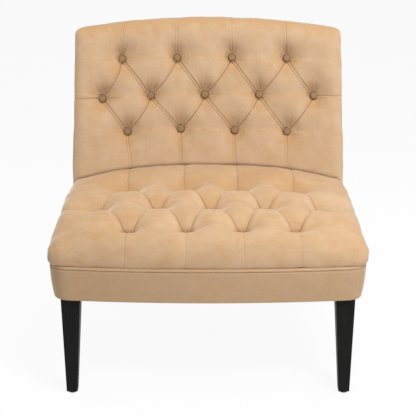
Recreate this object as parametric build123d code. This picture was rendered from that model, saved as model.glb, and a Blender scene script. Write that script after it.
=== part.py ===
from build123d import *
import math
import os

os.makedirs("parts", exist_ok=True)

# Seat plan; y runs backwards from the welt at the middle of the front
seat_half_front = 352.5
seat_half_rear = 341.0
seat_depth = 472.0
front_bow = 22.0
corner_radius = 44.0

# Heights above the floor
apron_bottom = 234.0
welt_height = 311.0
shoulder_height = 394.0
crest_height = 783.0

# Upholstery
cover_thick = 3.0
apron_thick = 2.5
apron_taper = 7.0
welt_radius = 4.5
welt_inset = 3.0
seat_bulge = 7.0
seat_crown = 18.0
dust_thick = 1.0

# Back; its face is an arc in plan and leans backwards
back_radius = 1250.0
back_half = 345.0
back_depth = 104.5
recline = 14.0
back_roll = 32.0
crest_roll = 42.0
crest_arch = 2350.0
crest_corner = 48.0
crest_rear_drop = 14.0

# Tufts: one column pitch, three rows, depth at the tuft and half way along a pleat
seat_pitch = 130.0
seat_rows = (86.0, 210.0, 346.0)
seat_tuft = 34.0
seat_flat = 6.0
back_pitch = 138.0
back_rows = (500.0, 588.0, 682.0)
back_tuft = 27.0
back_flat = 13.5
pleat_depth = 7.0
pleat_half = 2.6
edge_pleat = 4.0
run_in = 6.0

# Buttons and ties
button_radius = 11.0
button_high = 9.0
tie_radius = 1.2
washer_radius = 8.0
washer_thick = 1.6

# Timber
rail_thick = 20.0
rail_inner_front = 46.0
board_thick = 5.0
foam_face = 73.0
post_wide = 28.0
post_edge = 20.0
post_deep = 25.5
frame_top = 732.0
stile_x = 103.0
stile_wide = 36.0
rail_high = 38.0
panel_thick = 2.4
block_leg = 90.0

# Legs
leg_top = 44.0
leg_foot = 25.0
leg_edge = 2.0
front_leg_top = (307.5, 58.5)
front_leg_foot = (311.5, 45.0)
rear_leg_top = (300.0, 503.0)
rear_leg_foot = (302.0, 591.0)
glide_high = 5.0
glide_radius = 10.0
pin_radius = 1.5

# Fasteners
bolt_radius = 4.0
insert_radius = 6.0
dowel_radius = 4.0
dowel_long = 36.0
screw_radius = 2.0
screw_head = 4.0
back_bolt_x = (60.0, 220.0)
back_bolt_depth = 92.0

# Springs
spring_x = (-210.0, -105.0, 0.0, 105.0, 210.0)
wire_radius = 1.9
spring_half = 23.0
spring_start = 31.0
spring_bars = 18
clip_sheet = 1.2

# Clearances
fit = 0.2
pad_gap = 0.6

lean = math.tan(math.radians(recline))
rear_depth = back_depth - panel_thick - fit
frame_bottom = apron_bottom + 2.0
rail_top = welt_height - welt_radius - fit
pad_bottom = welt_height + welt_radius + fit
wire_height = rail_top + wire_radius + clip_sheet + fit
felt_bottom = wire_height + wire_radius + fit
bow_radius = (seat_half_front**2 + front_bow**2) / (2 * front_bow)
roll_rise = shoulder_height - pad_bottom
roll_radius = seat_bulge + roll_rise - math.sqrt(2 * seat_bulge * roll_rise)
roll_in = roll_radius - seat_bulge
roll_height = shoulder_height - roll_radius


def face_y(x):
    return seat_depth - back_radius + math.sqrt(back_radius**2 - x**2)


rear_corner = face_y(seat_half_rear) + back_depth
rail_inner_rear = face_y(seat_half_rear - 30) + rear_depth - rail_thick


def front_y(x):
    return bow_radius - math.sqrt(bow_radius**2 - x**2)


def seat_half(y):
    return seat_half_front + (seat_half_rear - seat_half_front) * y / rear_corner


def clamp(value):
    return min(1.0, max(0.0, value))


def edge_distance(x, y):
    front = y - front_y(x)
    side = seat_half(y) - abs(x)
    if front < corner_radius and side < corner_radius:
        return corner_radius - math.hypot(corner_radius - front, corner_radius - side)
    return min(front, side)


def make_edge(points):
    ends = Vector(*points[0]), Vector(*points[-1])
    if len(points) == 3:
        middle = Vector(*points[1])
        chord = (ends[1] - ends[0]).normalized()
        off = middle - ends[0]
        if (off - chord * off.dot(chord)).length > 0.2:
            return Edge.make_three_point_arc(ends[0], middle, ends[1])
    return Edge.make_line(*ends)


def make_wire(chain):
    return Wire([make_edge(points) for points in chain])


def close_chain(chain, *corners):
    points = [chain[-1][-1], *corners, chain[0][0]]
    return chain + list(zip(points, points[1:]))


def shell_chain(outer, inner):
    back = [tuple(reversed(points)) for points in reversed(inner)]
    return outer + [(outer[-1][-1], back[0][0])] + back + [(back[-1][-1], outer[0][0])]


def ruled(chains):
    return Solid.make_loft([make_wire(chain) for chain in chains], ruled=True)


# One run across the tufts at column position x, from the start shoulder to the stop shoulder
def tufted_run(x, rows, pitch, tuft, flat, span, fade, place):
    low, middle, high = rows
    half = pitch / 2
    beyond = abs(x) - 2 * pitch
    inside = beyond < 0
    wave = 1 - abs((abs(x) / half) % 2 - 1) if inside else 0.0
    off = min(abs(x) % half, half - abs(x) % half) if inside else beyond
    reach = half / 2 if inside else 55.0
    fall = (1 - clamp((off - flat) / (reach - flat))) ** 2.5
    depth = (pleat_depth + (tuft - pleat_depth) * fall) * fade
    pocket = flat - 0.42 * off if off < 1.01 * flat else 0.0
    start, stop = span
    length = stop - start
    middle = min(max(middle, start + 0.35 * length), stop - 0.35 * length)
    first = middle - (middle - low) * wave
    second = middle + (high - middle) * wave
    if wave < 0.5:
        step = 0.3 * max(pocket, pleat_half)
        a1 = min(first - pleat_half, middle - pocket)
        b1 = min(first + pleat_half, middle - step)
        a2 = max(second - pleat_half, middle + step)
        b2 = max(second + pleat_half, middle + pocket)
    else:
        a1 = min(first - pleat_half, low - pocket)
        b1 = max(first + pleat_half, low + pocket)
        a2 = min(second - pleat_half, high - pocket)
        b2 = max(second + pleat_half, high + pocket)
    full = clamp((a2 - b1 - 3 * flat) / (0.5 * (high - low)))
    crown = depth * (1 - full) ** 2
    pulse = clamp(1 - off / 14) * edge_pleat if wave > 0.5 else 0.0
    ends = (run_in + pulse) * fade
    return [
        (place(start, ends), place((start + a1) / 2, pulse), place(a1, depth)),
        (place(a1, depth), place(b1, depth)),
        (place(b1, depth), place((b1 + a2) / 2, crown), place(a2, depth)),
        (place(a2, depth), place(b2, depth)),
        (place(b2, depth), place((b2 + stop) / 2, pulse), place(stop, ends)),
    ]


def columns(pitch, flat):
    half = pitch / 2
    offsets = (0.0, flat, half / 2, half - flat)
    right = [half * step + offset for step in range(4) for offset in offsets]
    right += [2 * pitch, 2 * pitch + flat]
    return right


def both_sides(right):
    right = sorted(set(right))
    return [-x for x in reversed(right) if x > 0] + right


# How far the back's face has rolled away near its side edge
def side_roll(x, inset):
    side = back_half - abs(x)
    radius = back_roll - inset
    return back_roll - math.sqrt(max(radius**2 - max(back_roll - side, 0.0) ** 2, 0.0))


# Seat cushion profile in the plane at x, drawn in by inset
def seat_profile(x, inset):
    radius = roll_radius - inset
    foot = roll_in - math.sqrt(radius**2 - (roll_height - pad_bottom) ** 2)
    tip = roll_in - radius

    def rise(distance):
        return math.sqrt(max(radius**2 - (roll_in - min(distance, roll_in)) ** 2, 0.0))

    def top(y):
        swell = clamp(y / 220)
        swell = swell * swell * (3 - 2 * swell) * (1 - (x / seat_half_front) ** 2)
        return roll_height + rise(edge_distance(x, y)) + seat_crown * swell

    def bottom(y):
        distance = edge_distance(x, y)
        return pad_bottom if distance >= foot else roll_height - rise(distance)

    def front_at(level):
        low = front_y(x) - 30
        high = front_y(x) + max(roll_in, corner_radius) + 1
        for step in range(40):
            middle = (low + high) / 2
            if edge_distance(x, middle) < level:
                low = middle
            else:
                high = middle
        return high

    deepest = edge_distance(x, front_y(x) + max(roll_in, corner_radius) + 1)
    y0 = front_at(min(foot, deepest - 0.3))
    y1 = front_at(min(roll_in, deepest - 0.3))
    back = face_y(x) + side_roll(min(abs(x), back_half - 1), 0) - pad_gap - inset
    taper = rear_corner / (seat_half_front - seat_half_rear)
    side = (seat_half_front - abs(x) - tip) * taper

    def rear(z):
        return back + (z - welt_height) * lean

    free = side < rear(roll_height)
    if free:
        y4 = side - 0.25 * (side - y1)
        drop = (side, roll_height)
        y5, z5 = y4, bottom(y4)
        over = (side - 0.07 * (side - y1), 0.5 * (roll_height + top(y4)))
    else:
        y4 = rear(top(back)) - 26
        drop = (rear(top(y4) - 24), top(y4) - 24)
        y5, z5 = rear(pad_bottom), bottom(back)
        over = (y4 + 20, top(y4) - 7)
    fade = clamp((seat_half(262.0) - abs(x)) / roll_in)

    def place(y, depth):
        return (x, y, top(y) - depth)

    run = tufted_run(x, seat_rows, seat_pitch, seat_tuft, seat_flat, (y1, y4), fade, place)
    nose = (x, front_at(tip), roll_height)
    chain = [((x, y0, bottom(y0)), nose, run[0][0])] + run
    chain.append((run[-1][-1], (x, over[0], over[1]), (x, *drop)))
    chain.append(((x, *drop), (x, y5, z5)))
    return chain


# Back profile in the plane at x, drawn in by inset
def crest_line(x):
    side = back_half - abs(x)
    line = crest_height - crest_arch + math.sqrt(crest_arch**2 - x**2)
    if side < crest_corner:
        line -= crest_corner - math.sqrt(crest_corner**2 - (crest_corner - side) ** 2)
    return line


def back_profile(x, inset):
    side = back_half - abs(x)
    roll = side_roll(x, inset)
    crest = crest_line(x) - inset
    curve = crest_roll * (1 - 0.5 * clamp(roll / back_roll))
    top = crest - curve
    fade = clamp(side / (1.5 * back_roll))

    def at(z, depth):
        return (x, face_y(x) + depth + (z - welt_height) * lean, z)

    def place(z, depth):
        return at(z, roll + depth)

    foot = place(pad_bottom, 12.0)
    run = tufted_run(x, back_rows, back_pitch, back_tuft, back_flat, (390.0, top), fade, place)
    ridge = at(crest, roll + 1.15 * curve)
    arch = at(crest - 0.27 * curve, roll + 0.27 * curve)
    chain = [(foot, place(352.0, 2.5), run[0][0])] + run
    chain.append((run[-1][-1], arch, ridge))
    heel = at(crest - crest_rear_drop, rear_depth)
    chain.append((ridge, at(crest - 0.2 * crest_rear_drop, 0.5 * (roll + curve + rear_depth)), heel))
    return chain


def back_closed(x, inset):
    bottom = (x, face_y(x) + rear_depth + (pad_bottom - welt_height) * lean, pad_bottom)
    return close_chain(back_profile(x, inset), bottom)


def slab(profile, first, last):
    return ruled([profile(x) for x in (first, (first + last) / 2, last)])


# Plan outlines of the seat, drawn in by inset
def plan_face(inset, rear):
    front = seat_half_front - inset
    back = seat_half_rear - inset
    front_left, front_right = [(x, front_y(front) + inset, 0) for x in (-front, front)]
    rear_left, rear_right = [(x, face_y(back) + rear, 0) for x in (-back, back)]
    face = Face(make_wire([
        (front_left, (0, inset, 0), front_right),
        (front_right, rear_right),
        (rear_right, (0, seat_depth + rear, 0), rear_left),
        (rear_left, front_left),
    ]))
    corners = [vertex for vertex in face.vertices() if vertex.Y < 100]
    return face.fillet_2d(corner_radius - inset, corners)


def plan_loft(low, high, low_inset, high_inset, rear):
    wires = []
    for z, inset in ((low, low_inset), (high, high_inset)):
        wires.append(plan_face(inset, rear).moved(Location((0, 0, z))).outer_wire())
    return Solid.make_loft(wires, ruled=True)


def inner_half(y):
    return seat_half(y) - apron_taper - apron_thick - rail_thick


def prism(points, low, high):
    face = Face(Wire.make_polygon([Vector(x, y, low) for x, y in points], close=True))
    return extrude(face, amount=high - low, dir=(0, 0, 1))


# A piece of the back between two x values, two depths behind the face and two heights
def leaning(x0, x1, d0, d1, z0, z1, upright=False):
    def at(x, depth):
        return (x, face_y(x) + depth + (0 if upright else (z0 - welt_height) * lean), z0)

    middle = (x0 + x1) / 2
    face = Face(make_wire([
        (at(x0, d0), at(middle, d0), at(x1, d0)),
        (at(x1, d0), at(x1, d1)),
        (at(x1, d1), at(middle, d1), at(x0, d1)),
        (at(x0, d1), at(x0, d0)),
    ]))
    way = Vector(0, 0 if upright else (z1 - z0) * lean, z1 - z0)
    return extrude(face, amount=way.length, dir=way.normalized())


def rod(start, direction, length, radius):
    plane = Plane(origin=start, z_dir=direction)
    return plane * Cylinder(radius, length, align=(Align.CENTER, Align.CENTER, Align.MIN))


def shifted(point, direction, distance):
    return Vector(*point) + Vector(*direction).normalized() * distance


def tuft_points(pitch, rows):
    points = []
    for row, steps in zip(rows, ((-1.5, -0.5, 0.5, 1.5), (-2, -1, 0, 1, 2), (-1.5, -0.5, 0.5, 1.5))):
        points += [(pitch * step, row) for step in steps]
    return points


parts = {}

# Seat frame
block = plan_loft(frame_bottom, rail_top, apron_taper + apron_thick + fit, apron_thick + fit, rear_depth)
wide = 2 * seat_half_front
front_zone = prism([(-wide, -50), (wide, -50), (wide, rail_inner_front), (-wide, rail_inner_front)], 0, 500)
front_rail = block & front_zone
reach = rail_inner_front + fit
tail = rear_corner + 60


def side_zone(sign):
    half = [inner_half(reach), wide, wide, inner_half(tail)]
    points = [(sign * x, y) for x, y in zip(half, (reach, reach, tail, tail))]
    return prism(points if sign > 0 else points[::-1], 0, 500)


side_rails = {sign: block & side_zone(sign) for sign in (-1, 1)}
near, far = [inner_half(y) - fit for y in (rail_inner_rear, tail)]
corners = zip((-near, near, far, -far), (rail_inner_rear, rail_inner_rear, tail, tail))
rear_rail = leaning(-seat_half_rear, seat_half_rear, -100, rear_depth, frame_bottom, pad_bottom, True)
rear_rail &= prism(list(corners), frame_bottom, pad_bottom)

blocks = {}
for sign in (-1, 1):
    for name, wall, turn in (("front", rail_inner_front, 1), ("rear", rail_inner_rear, -1)):
        start = wall + turn * fit
        end = start + turn * block_leg
        corner = [
            (sign * (inner_half(start) - fit), start),
            (sign * (inner_half(start) - block_leg), start),
            (sign * (inner_half(end) - fit), end),
        ]
        if sign * turn > 0:
            corner.reverse()
        blocks[name, sign] = prism(corner, frame_bottom, rail_top - 2)

# Screws through the corner blocks and dowels between the rails
screws = []
dowels = []
mid_height = (frame_bottom + rail_top) / 2
for sign in (-1, 1):
    for name, wall, turn in (("front", rail_inner_front, 1), ("rear", rail_inner_rear, -1)):
        along = block_leg * 0.62
        head = 10.0
        for kind in ("end", "side"):
            if kind == "end":
                y = wall + turn * (block_leg - along - head)
                start = (sign * (inner_half(wall) - along), y, mid_height + 12)
                way = (0, -turn, 0)
            else:
                x = sign * (inner_half(wall) - block_leg + along + head)
                start = (x, wall + turn * along, mid_height - 12)
                way = (sign, 0, 0)
            screw = rod(start, way, 38, screw_radius) + rod(start, way, 3, screw_head)
            access = rod(shifted(start, way, -60), way, 60, screw_head + fit)
            blocks[name, sign] = blocks[name, sign] - screw - access
            if kind == "end" and name == "front":
                front_rail -= screw
            elif kind == "end":
                rear_rail -= screw
            else:
                side_rails[sign] -= screw
            screws.append(screw)
    for height in (frame_bottom + 20, rail_top - 20):
        x = sign * (inner_half(0) + rail_thick * 0.22)
        dowel = rod((x, rail_inner_front - 8, height), (0, 1, 0), dowel_long, dowel_radius)
        front_rail -= dowel
        side_rails[sign] -= dowel
        dowels.append(dowel)
        y = rail_inner_rear + rail_thick * 0.4
        dowel = rod((sign * (inner_half(y) - 22), y, height), (sign, 0, 0), dowel_long, dowel_radius)
        rear_rail -= dowel
        side_rails[sign] -= dowel
        dowels.append(dowel)

# Legs with hanger bolts, inserts and glides
bolts = []
inserts = []
glides = []
legs = {}
for sign in (-1, 1):
    ends = {"front": (front_leg_top, front_leg_foot), "rear": (rear_leg_top, rear_leg_foot)}
    for name, (top, foot) in ends.items():
        wires = []
        for (x, y), size, z in ((foot, leg_foot, glide_high), (top, leg_top, frame_bottom)):
            wires.append(Wire.make_rect(size, size, Plane((sign * x, y, z))))
        leg = Solid.make_loft(wires, ruled=True)
        upright = [edge for edge in leg.edges() if edge.length > frame_bottom / 2]
        leg = leg.fillet(leg_edge, upright)
        bolt = rod((sign * top[0], top[1], frame_bottom - 38), (0, 0, 1), 80, bolt_radius)
        insert = rod((sign * top[0], top[1], frame_bottom + 2), (0, 0, 1), 24, insert_radius) - bolt
        pin = rod((sign * foot[0], foot[1], 1), (0, 0, 1), glide_high + 13, pin_radius)
        glide = rod((sign * foot[0], foot[1], 0), (0, 0, 1), glide_high, glide_radius)
        rim = [edge for edge in glide.edges() if edge.center().Z < 0.1]
        glide = fillet(rim, 1.5) + pin
        blocks[name, sign] = blocks[name, sign] - bolt - rod(
            (sign * top[0], top[1], frame_bottom + 2), (0, 0, 1), 24, insert_radius)
        legs[name, sign] = leg - bolt - pin
        bolts.append(bolt)
        inserts.append(insert)
        glides.append(glide)

# Sinuous springs between the front rail and the rear rail
spring_stop = rail_inner_rear - wire_radius - clip_sheet - fit
bar_pitch = (spring_stop - spring_start) / (spring_bars - 1)
turn_radius = bar_pitch / 2
bar_half = spring_half - turn_radius
clips = []
springs = []
for x in spring_x:
    path = []
    for bar in range(spring_bars):
        y = spring_start + bar * bar_pitch
        sign = 1 if bar % 2 == 0 else -1
        bar_ends = [(x + side * bar_half, y, wire_height) for side in (-sign, sign)]
        path.append(Edge.make_line(*bar_ends))
        if bar < spring_bars - 1:
            ends = [(x + sign * bar_half, y + step * bar_pitch, wire_height) for step in (0, 1)]
            far = (x + sign * (bar_half + turn_radius), y + turn_radius, wire_height)
            path.append(Edge.make_three_point_arc(ends[0], far, ends[1]))
    section = Plane(origin=path[0] @ 0, z_dir=path[0] % 0) * Circle(wire_radius)
    springs.append(sweep(section, path=Wire(path)))
    inner = wire_radius + fit
    loop = Circle(inner + clip_sheet)
    tab_long = inner + clip_sheet + 8
    tab = Pos(-tab_long / 2, -inner - clip_sheet / 2) * Rectangle(tab_long, clip_sheet)
    shape = loop + tab - Circle(inner)
    for y, turn in ((spring_start, 0), (spring_stop, 90)):
        plane = Plane(origin=(x - 6, y, wire_height), x_dir=(0, 1, 0), z_dir=(1, 0, 0))
        clips.append(extrude(plane * (Rot(0, 0, turn) * shape), amount=12, dir=(1, 0, 0)))

tie_height = wire_height - 2 * wire_radius - fit
tie_rods = []
for part_way in (5, 11):
    y = spring_start + (part_way + 0.5) * bar_pitch
    half = inner_half(y) - fit
    tie_rods.append(rod((-half, y, tie_height), (1, 0, 0), 2 * half, wire_radius))

# Felt over the springs, then the tufted seat
seat_tufts = tuft_points(seat_pitch, seat_rows)
felt = plan_face(12, -14).moved(Location((0, 0, felt_bottom)))
felt = extrude(felt, amount=pad_bottom - felt_bottom, dir=(0, 0, 1))
for x in spring_x:
    felt -= Pos(x, spring_start - 4, felt_bottom) * Box(13, 20, 6)
seat_columns = columns(seat_pitch, seat_flat) + [285.0, 300.0, 314.0, 326.0, 336.0, 344.0, 349.0]


def seat_outer(x):
    return close_chain(seat_profile(x, 0))


def seat_shell(x):
    return shell_chain(seat_profile(x, 0), seat_profile(x, cover_thick))


seat_ends = (349.0, seat_half_front + seat_bulge - 3.4)
seat_cover = ruled([seat_shell(x) for x in both_sides(seat_columns)])
for sign in (-1, 1):
    seat_cover += slab(seat_outer, sign * seat_ends[0], sign * seat_ends[1])
seat_foam = ruled([close_chain(seat_profile(x, cover_thick + fit)) for x in both_sides(seat_columns)])

seat_ties = []
seat_washers = []
for x, y in seat_tufts:
    swell = clamp(y / 220)
    swell = swell * swell * (3 - 2 * swell) * (1 - (x / seat_half_front) ** 2)
    floor = shoulder_height + seat_crown * swell - seat_tuft
    low = felt_bottom + washer_thick
    stem = rod((x, y, felt_bottom), (0, 0, 1), floor + 0.4 - felt_bottom, tie_radius)
    knot = rod((x, y, floor + 0.4), (0, 0, 1), 1.6, 2.2 * tie_radius)
    hole = rod((x, y, felt_bottom - 1), (0, 0, 1), floor + 20 - felt_bottom, tie_radius + fit)
    washer = rod((x, y, felt_bottom), (0, 0, 1), washer_thick, washer_radius)
    felt -= hole + rod((x, y, felt_bottom - 1), (0, 0, 1), washer_thick + 1 + fit, washer_radius + fit)
    seat_foam -= hole
    seat_cover -= hole
    seat_washers.append(washer - hole)
    seat_ties.append(stem + knot)

# Welt, apron and dust cover
welt_face = plan_face(welt_inset, rear_depth - 4)
welt_edges = [edge for edge in welt_face.outer_wire().edges() if edge.center().Y < rear_corner - 40]
welt_path = Wire(welt_edges).moved(Location((0, 0, welt_height)))
welt = sweep(Plane(origin=welt_path @ 0, z_dir=welt_path % 0) * Circle(welt_radius), path=welt_path)
apron = plan_loft(apron_bottom, rail_top, apron_taper, 0, rear_depth)
apron -= plan_loft(apron_bottom - 1, rail_top + 1, apron_taper + apron_thick, apron_thick, rear_depth + 40)
dust = plan_face(apron_taper + apron_thick + 3, rear_depth - 4)
dust = Pos(0, 0, frame_bottom - dust_thick) * extrude(dust, amount=dust_thick, dir=(0, 0, 1))
for (x, y) in (front_leg_top, rear_leg_top):
    for sign in (-1, 1):
        dust -= Pos(sign * x, y, frame_bottom) * Box(leg_top + 2, leg_top + 2, 10)

# Back frame
post_outer = back_half - post_edge
post_inner = post_outer - post_wide
deep = foam_face + board_thick
posts = {}
for sign in (-1, 1):
    ends = sorted((sign * post_inner, sign * post_outer))
    posts[sign] = leaning(ends[0], ends[1], foam_face, foam_face + post_deep, pad_bottom, frame_top)
rail_end = post_inner - fit
frame_rear = foam_face + post_deep
low_top = pad_bottom + rail_high
high_low = frame_top - rail_high
bottom_rail = leaning(-rail_end, rail_end, deep + fit, frame_rear, pad_bottom, low_top)
crest_rail = leaning(-rail_end, rail_end, deep + fit, frame_rear, high_low, frame_top)
stiles = {}
for sign in (-1, 1):
    ends = sorted((sign * (stile_x - stile_wide / 2), sign * (stile_x + stile_wide / 2)))
    stiles[sign] = leaning(ends[0], ends[1], deep + fit, frame_rear, low_top, high_low)
board = leaning(-rail_end, rail_end, foam_face, deep, pad_bottom, frame_top)
outer_board = leaning(-post_outer, post_outer, frame_rear + fit, rear_depth - fit, pad_bottom, frame_top)

back_dowels = []
for sign in (-1, 1):
    for height in (pad_bottom + 12, pad_bottom + 26, frame_top - 26, frame_top - 12):
        y = face_y(post_inner) + (deep + frame_rear) / 2 + (height - welt_height) * lean
        way = Vector(1, -post_inner / math.sqrt(back_radius**2 - post_inner**2) * sign, 0) * sign
        start = Vector(sign * post_inner, y, height) - way.normalized() * 16
        dowel = rod(start, way, 32, dowel_radius)
        posts[sign] -= dowel
        if height < 500:
            bottom_rail -= dowel
        else:
            crest_rail -= dowel
        back_dowels.append(dowel)
    for height, rail in ((low_top, "bottom"), (high_low, "crest")):
        x = sign * stile_x
        y = face_y(x) + (deep + frame_rear) / 2 + (height - welt_height) * lean
        way = Vector(0, lean, 1).normalized()
        dowel = rod(Vector(x, y, height) - way * 16, way, 32, dowel_radius)
        stiles[sign] -= dowel
        if rail == "bottom":
            bottom_rail -= dowel
        else:
            crest_rail -= dowel
        back_dowels.append(dowel)

back_bolts = []
back_inserts = []
for x in [sign * x for x in back_bolt_x for sign in (-1, 1)]:
    y = face_y(x) + back_bolt_depth
    head_top = frame_bottom + 10
    bolt = rod((x, y, head_top - 7), (0, 0, 1), 100, bolt_radius)
    bolt += rod((x, y, head_top - 7), (0, 0, 1), 7, 6.5)
    bore = rod((x, y, frame_bottom - 1), (0, 0, 1), 11, 7)
    bore += rod((x, y, head_top), (0, 0, 1), 100, bolt_radius + fit)
    seat_of_insert = rod((x, y, pad_bottom + 2), (0, 0, 1), 18, insert_radius)
    rear_rail -= bore
    bottom_rail = bottom_rail - bore - seat_of_insert
    back_bolts.append(bolt)
    back_inserts.append(seat_of_insert - rod((x, y, pad_bottom), (0, 0, 1), 40, bolt_radius))

# Tufted back
back_columns = columns(back_pitch, back_flat) + [300.0, 314.0, 324.0, 332.0, 338.0, 341.0]


def back_shell(x):
    return shell_chain(back_profile(x, 0), back_profile(x, cover_thick))


back_cover = ruled([back_shell(x) for x in both_sides(back_columns)])
for sign in (-1, 1):
    back_cover += slab(lambda x: back_closed(x, 0), sign * 341.0, sign * (back_half - 0.8))
back_foam = ruled([back_closed(x, cover_thick + fit) for x in both_sides(back_columns)])
room = post_outer + fit
back_foam -= leaning(-room, room, foam_face - fit, back_depth + 30, 280, frame_top + fit)

buttons = []
back_ties = []
back_washers = []
for x, z in tuft_points(back_pitch, back_rows):
    fall = clamp((back_half - abs(x)) / (1.5 * back_roll))
    floor = Vector(x, face_y(x) + back_tuft * fall + (z - welt_height) * lean, z)
    normal = Vector(-x / math.sqrt(back_radius**2 - x**2), -1, lean).normalized()
    seat = floor + normal * 2 * fit
    span = (button_radius**2 + button_high**2) / (2 * button_high)
    plane = Plane(origin=seat, z_dir=normal)
    dome = plane * (Pos(0, 0, button_high - span) * Sphere(span))
    button = dome & rod(seat, normal, button_high + 1, button_radius + 5)
    reach = (deep - back_tuft * fall) * normal.Y * -1
    inward = normal * -1
    tie = rod(seat + normal * 3, inward, reach + washer_thick + 5, tie_radius)
    hole = rod(seat + normal * 2, inward, reach + 30, tie_radius + fit)
    washer = rod(seat + inward * (reach + 0.5), inward, washer_thick, washer_radius)
    buttons.append(button - tie)
    back_cover -= hole
    back_foam -= hole
    board -= hole
    back_washers.append(washer - hole)
    knot = rod(seat + inward * (reach + washer_thick + 0.7), inward, 2, 2.4 * tie_radius)
    back_ties.append(tie + knot)

# Outside back, leaning above the seat frame and upright over its rear rail
def panel_profile(x):
    def at(z, depth):
        return (x, face_y(x) + depth + (max(z, pad_bottom) - welt_height) * lean, z)

    top = crest_line(x) - crest_rear_drop - 1
    inner = back_depth - panel_thick
    points = [at(apron_bottom, inner), at(pad_bottom, inner), at(top, inner),
              at(top, back_depth), at(pad_bottom, back_depth), at(apron_bottom, back_depth)]
    return list(zip(points, points[1:] + points[:1]))


panel_columns = [x for x in back_columns if x < seat_half_rear] + [seat_half_rear]
outer_cover = ruled([panel_profile(x) for x in both_sides(panel_columns)])

parts["front_left_leg"] = legs["front", -1]
parts["front_right_leg"] = legs["front", 1]
parts["rear_left_leg"] = legs["rear", -1]
parts["rear_right_leg"] = legs["rear", 1]
parts["leg_bolts"] = bolts
parts["leg_inserts"] = inserts
parts["leg_glides"] = glides
parts["seat_front_rail"] = front_rail
parts["seat_left_rail"] = side_rails[-1]
parts["seat_right_rail"] = side_rails[1]
parts["seat_rear_rail"] = rear_rail
parts["front_left_block"] = blocks["front", -1]
parts["front_right_block"] = blocks["front", 1]
parts["rear_left_block"] = blocks["rear", -1]
parts["rear_right_block"] = blocks["rear", 1]
parts["block_screws"] = screws
parts["rail_dowels"] = dowels
for number, spring in enumerate(springs, 1):
    parts[f"spring_{number}"] = spring
parts["spring_clips"] = clips
parts["spring_tie_rods"] = tie_rods
parts["seat_felt"] = felt
parts["seat_foam"] = seat_foam
parts["seat_cover"] = seat_cover
parts["seat_ties"] = seat_ties
parts["seat_tie_washers"] = seat_washers
parts["welt"] = welt
parts["apron_cover"] = apron
parts["dust_cover"] = dust
parts["back_left_post"] = posts[-1]
parts["back_right_post"] = posts[1]
parts["back_crest_rail"] = crest_rail
parts["back_bottom_rail"] = bottom_rail
parts["back_left_stile"] = stiles[-1]
parts["back_right_stile"] = stiles[1]
parts["back_board"] = board
parts["back_dowels"] = back_dowels
parts["back_bolts"] = back_bolts
parts["back_inserts"] = back_inserts
parts["back_foam"] = back_foam
parts["back_cover"] = back_cover
parts["back_buttons"] = buttons
parts["back_ties"] = back_ties
parts["back_tie_washers"] = back_washers
parts["outside_board"] = outer_board
parts["outside_cover"] = outer_cover


def solids_of(piece):
    return [solid for shape in (piece if isinstance(piece, list) else [piece]) for solid in shape.solids()]


boxes = [solid.bounding_box() for piece in parts.values() for solid in solids_of(piece)]
middle = (min(box.min.Y for box in boxes) + max(box.max.Y for box in boxes)) / 2
for name, piece in parts.items():
    solids = [solid.moved(Location((0, -middle, 0))) for solid in solids_of(piece)]
    shape = solids[0] if len(solids) == 1 else Compound(children=solids)
    shape.label = name
    export_step(shape, f"parts/{name}.step")
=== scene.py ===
import math

import bmesh
import bpy
import numpy as np
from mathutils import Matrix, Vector


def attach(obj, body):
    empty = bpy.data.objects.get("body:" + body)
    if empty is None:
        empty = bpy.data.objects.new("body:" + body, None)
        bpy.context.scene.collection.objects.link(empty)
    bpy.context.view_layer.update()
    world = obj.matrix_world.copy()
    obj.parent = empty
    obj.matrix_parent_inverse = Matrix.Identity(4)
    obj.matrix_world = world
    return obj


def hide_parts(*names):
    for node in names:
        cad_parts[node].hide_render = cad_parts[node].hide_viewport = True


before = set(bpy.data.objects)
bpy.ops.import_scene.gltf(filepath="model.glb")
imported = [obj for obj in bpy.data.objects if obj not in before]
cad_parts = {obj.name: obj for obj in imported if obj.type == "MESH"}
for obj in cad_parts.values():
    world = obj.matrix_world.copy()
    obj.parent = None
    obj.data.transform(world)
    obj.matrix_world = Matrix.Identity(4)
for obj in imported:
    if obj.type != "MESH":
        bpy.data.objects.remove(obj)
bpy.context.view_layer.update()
scene = bpy.context.scene
scene.view_settings.view_transform = "Standard"

# Main lines of the chair in metres, y from the middle of the front until it is placed
chair = {
    "middle": 0.341718,
    "seatHalfFront": 0.3525, "seatHalfRear": 0.341, "seatDepth": 0.472, "frontBow": 0.022,
    "cornerRadius": 0.044, "apronBottom": 0.234, "apronTop": 0.3063, "apronTaper": 0.007,
    "weltHeight": 0.311, "padBottom": 0.3157, "shoulder": 0.394, "crest": 0.783,
    "backRadius": 1.25, "backHalf": 0.345, "backDepth": 0.1045, "rearDepth": 0.1019,
    "lean": math.tan(math.radians(14.0)),
}
chair["bowRadius"] = (chair["seatHalfFront"] ** 2 + chair["frontBow"] ** 2) / (2 * chair["frontBow"])


def faceY(x):
    return chair["seatDepth"] - chair["backRadius"] + np.sqrt(chair["backRadius"] ** 2 - x ** 2)


def frontY(x):
    return chair["bowRadius"] - np.sqrt(chair["bowRadius"] ** 2 - x ** 2)


rearCorner = float(faceY(chair["seatHalfRear"])) + chair["backDepth"]


def seatHalf(y):
    return chair["seatHalfFront"] + (chair["seatHalfRear"] - chair["seatHalfFront"]) * y / rearCorner


def smoothStep(value):
    t = np.clip(value, 0.0, 1.0)
    return t * t * (3 - 2 * t)


def ramp(value, start, long):
    return smoothStep((value - start) / long)


def leanBack(z):      # how far the back leans to the rear at a height
    return (z - chair["weltHeight"]) * chair["lean"]


def inFrame(x, y, z):
    return np.stack(np.broadcast_arrays(x, y - chair["middle"], z), -1)


def spot(u, v, atU, atV, wide, tall):      # 1 in the middle, fading round it
    return np.exp(-((u - atU) / wide) ** 2 - ((v - atV) / tall) ** 2)


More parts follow.
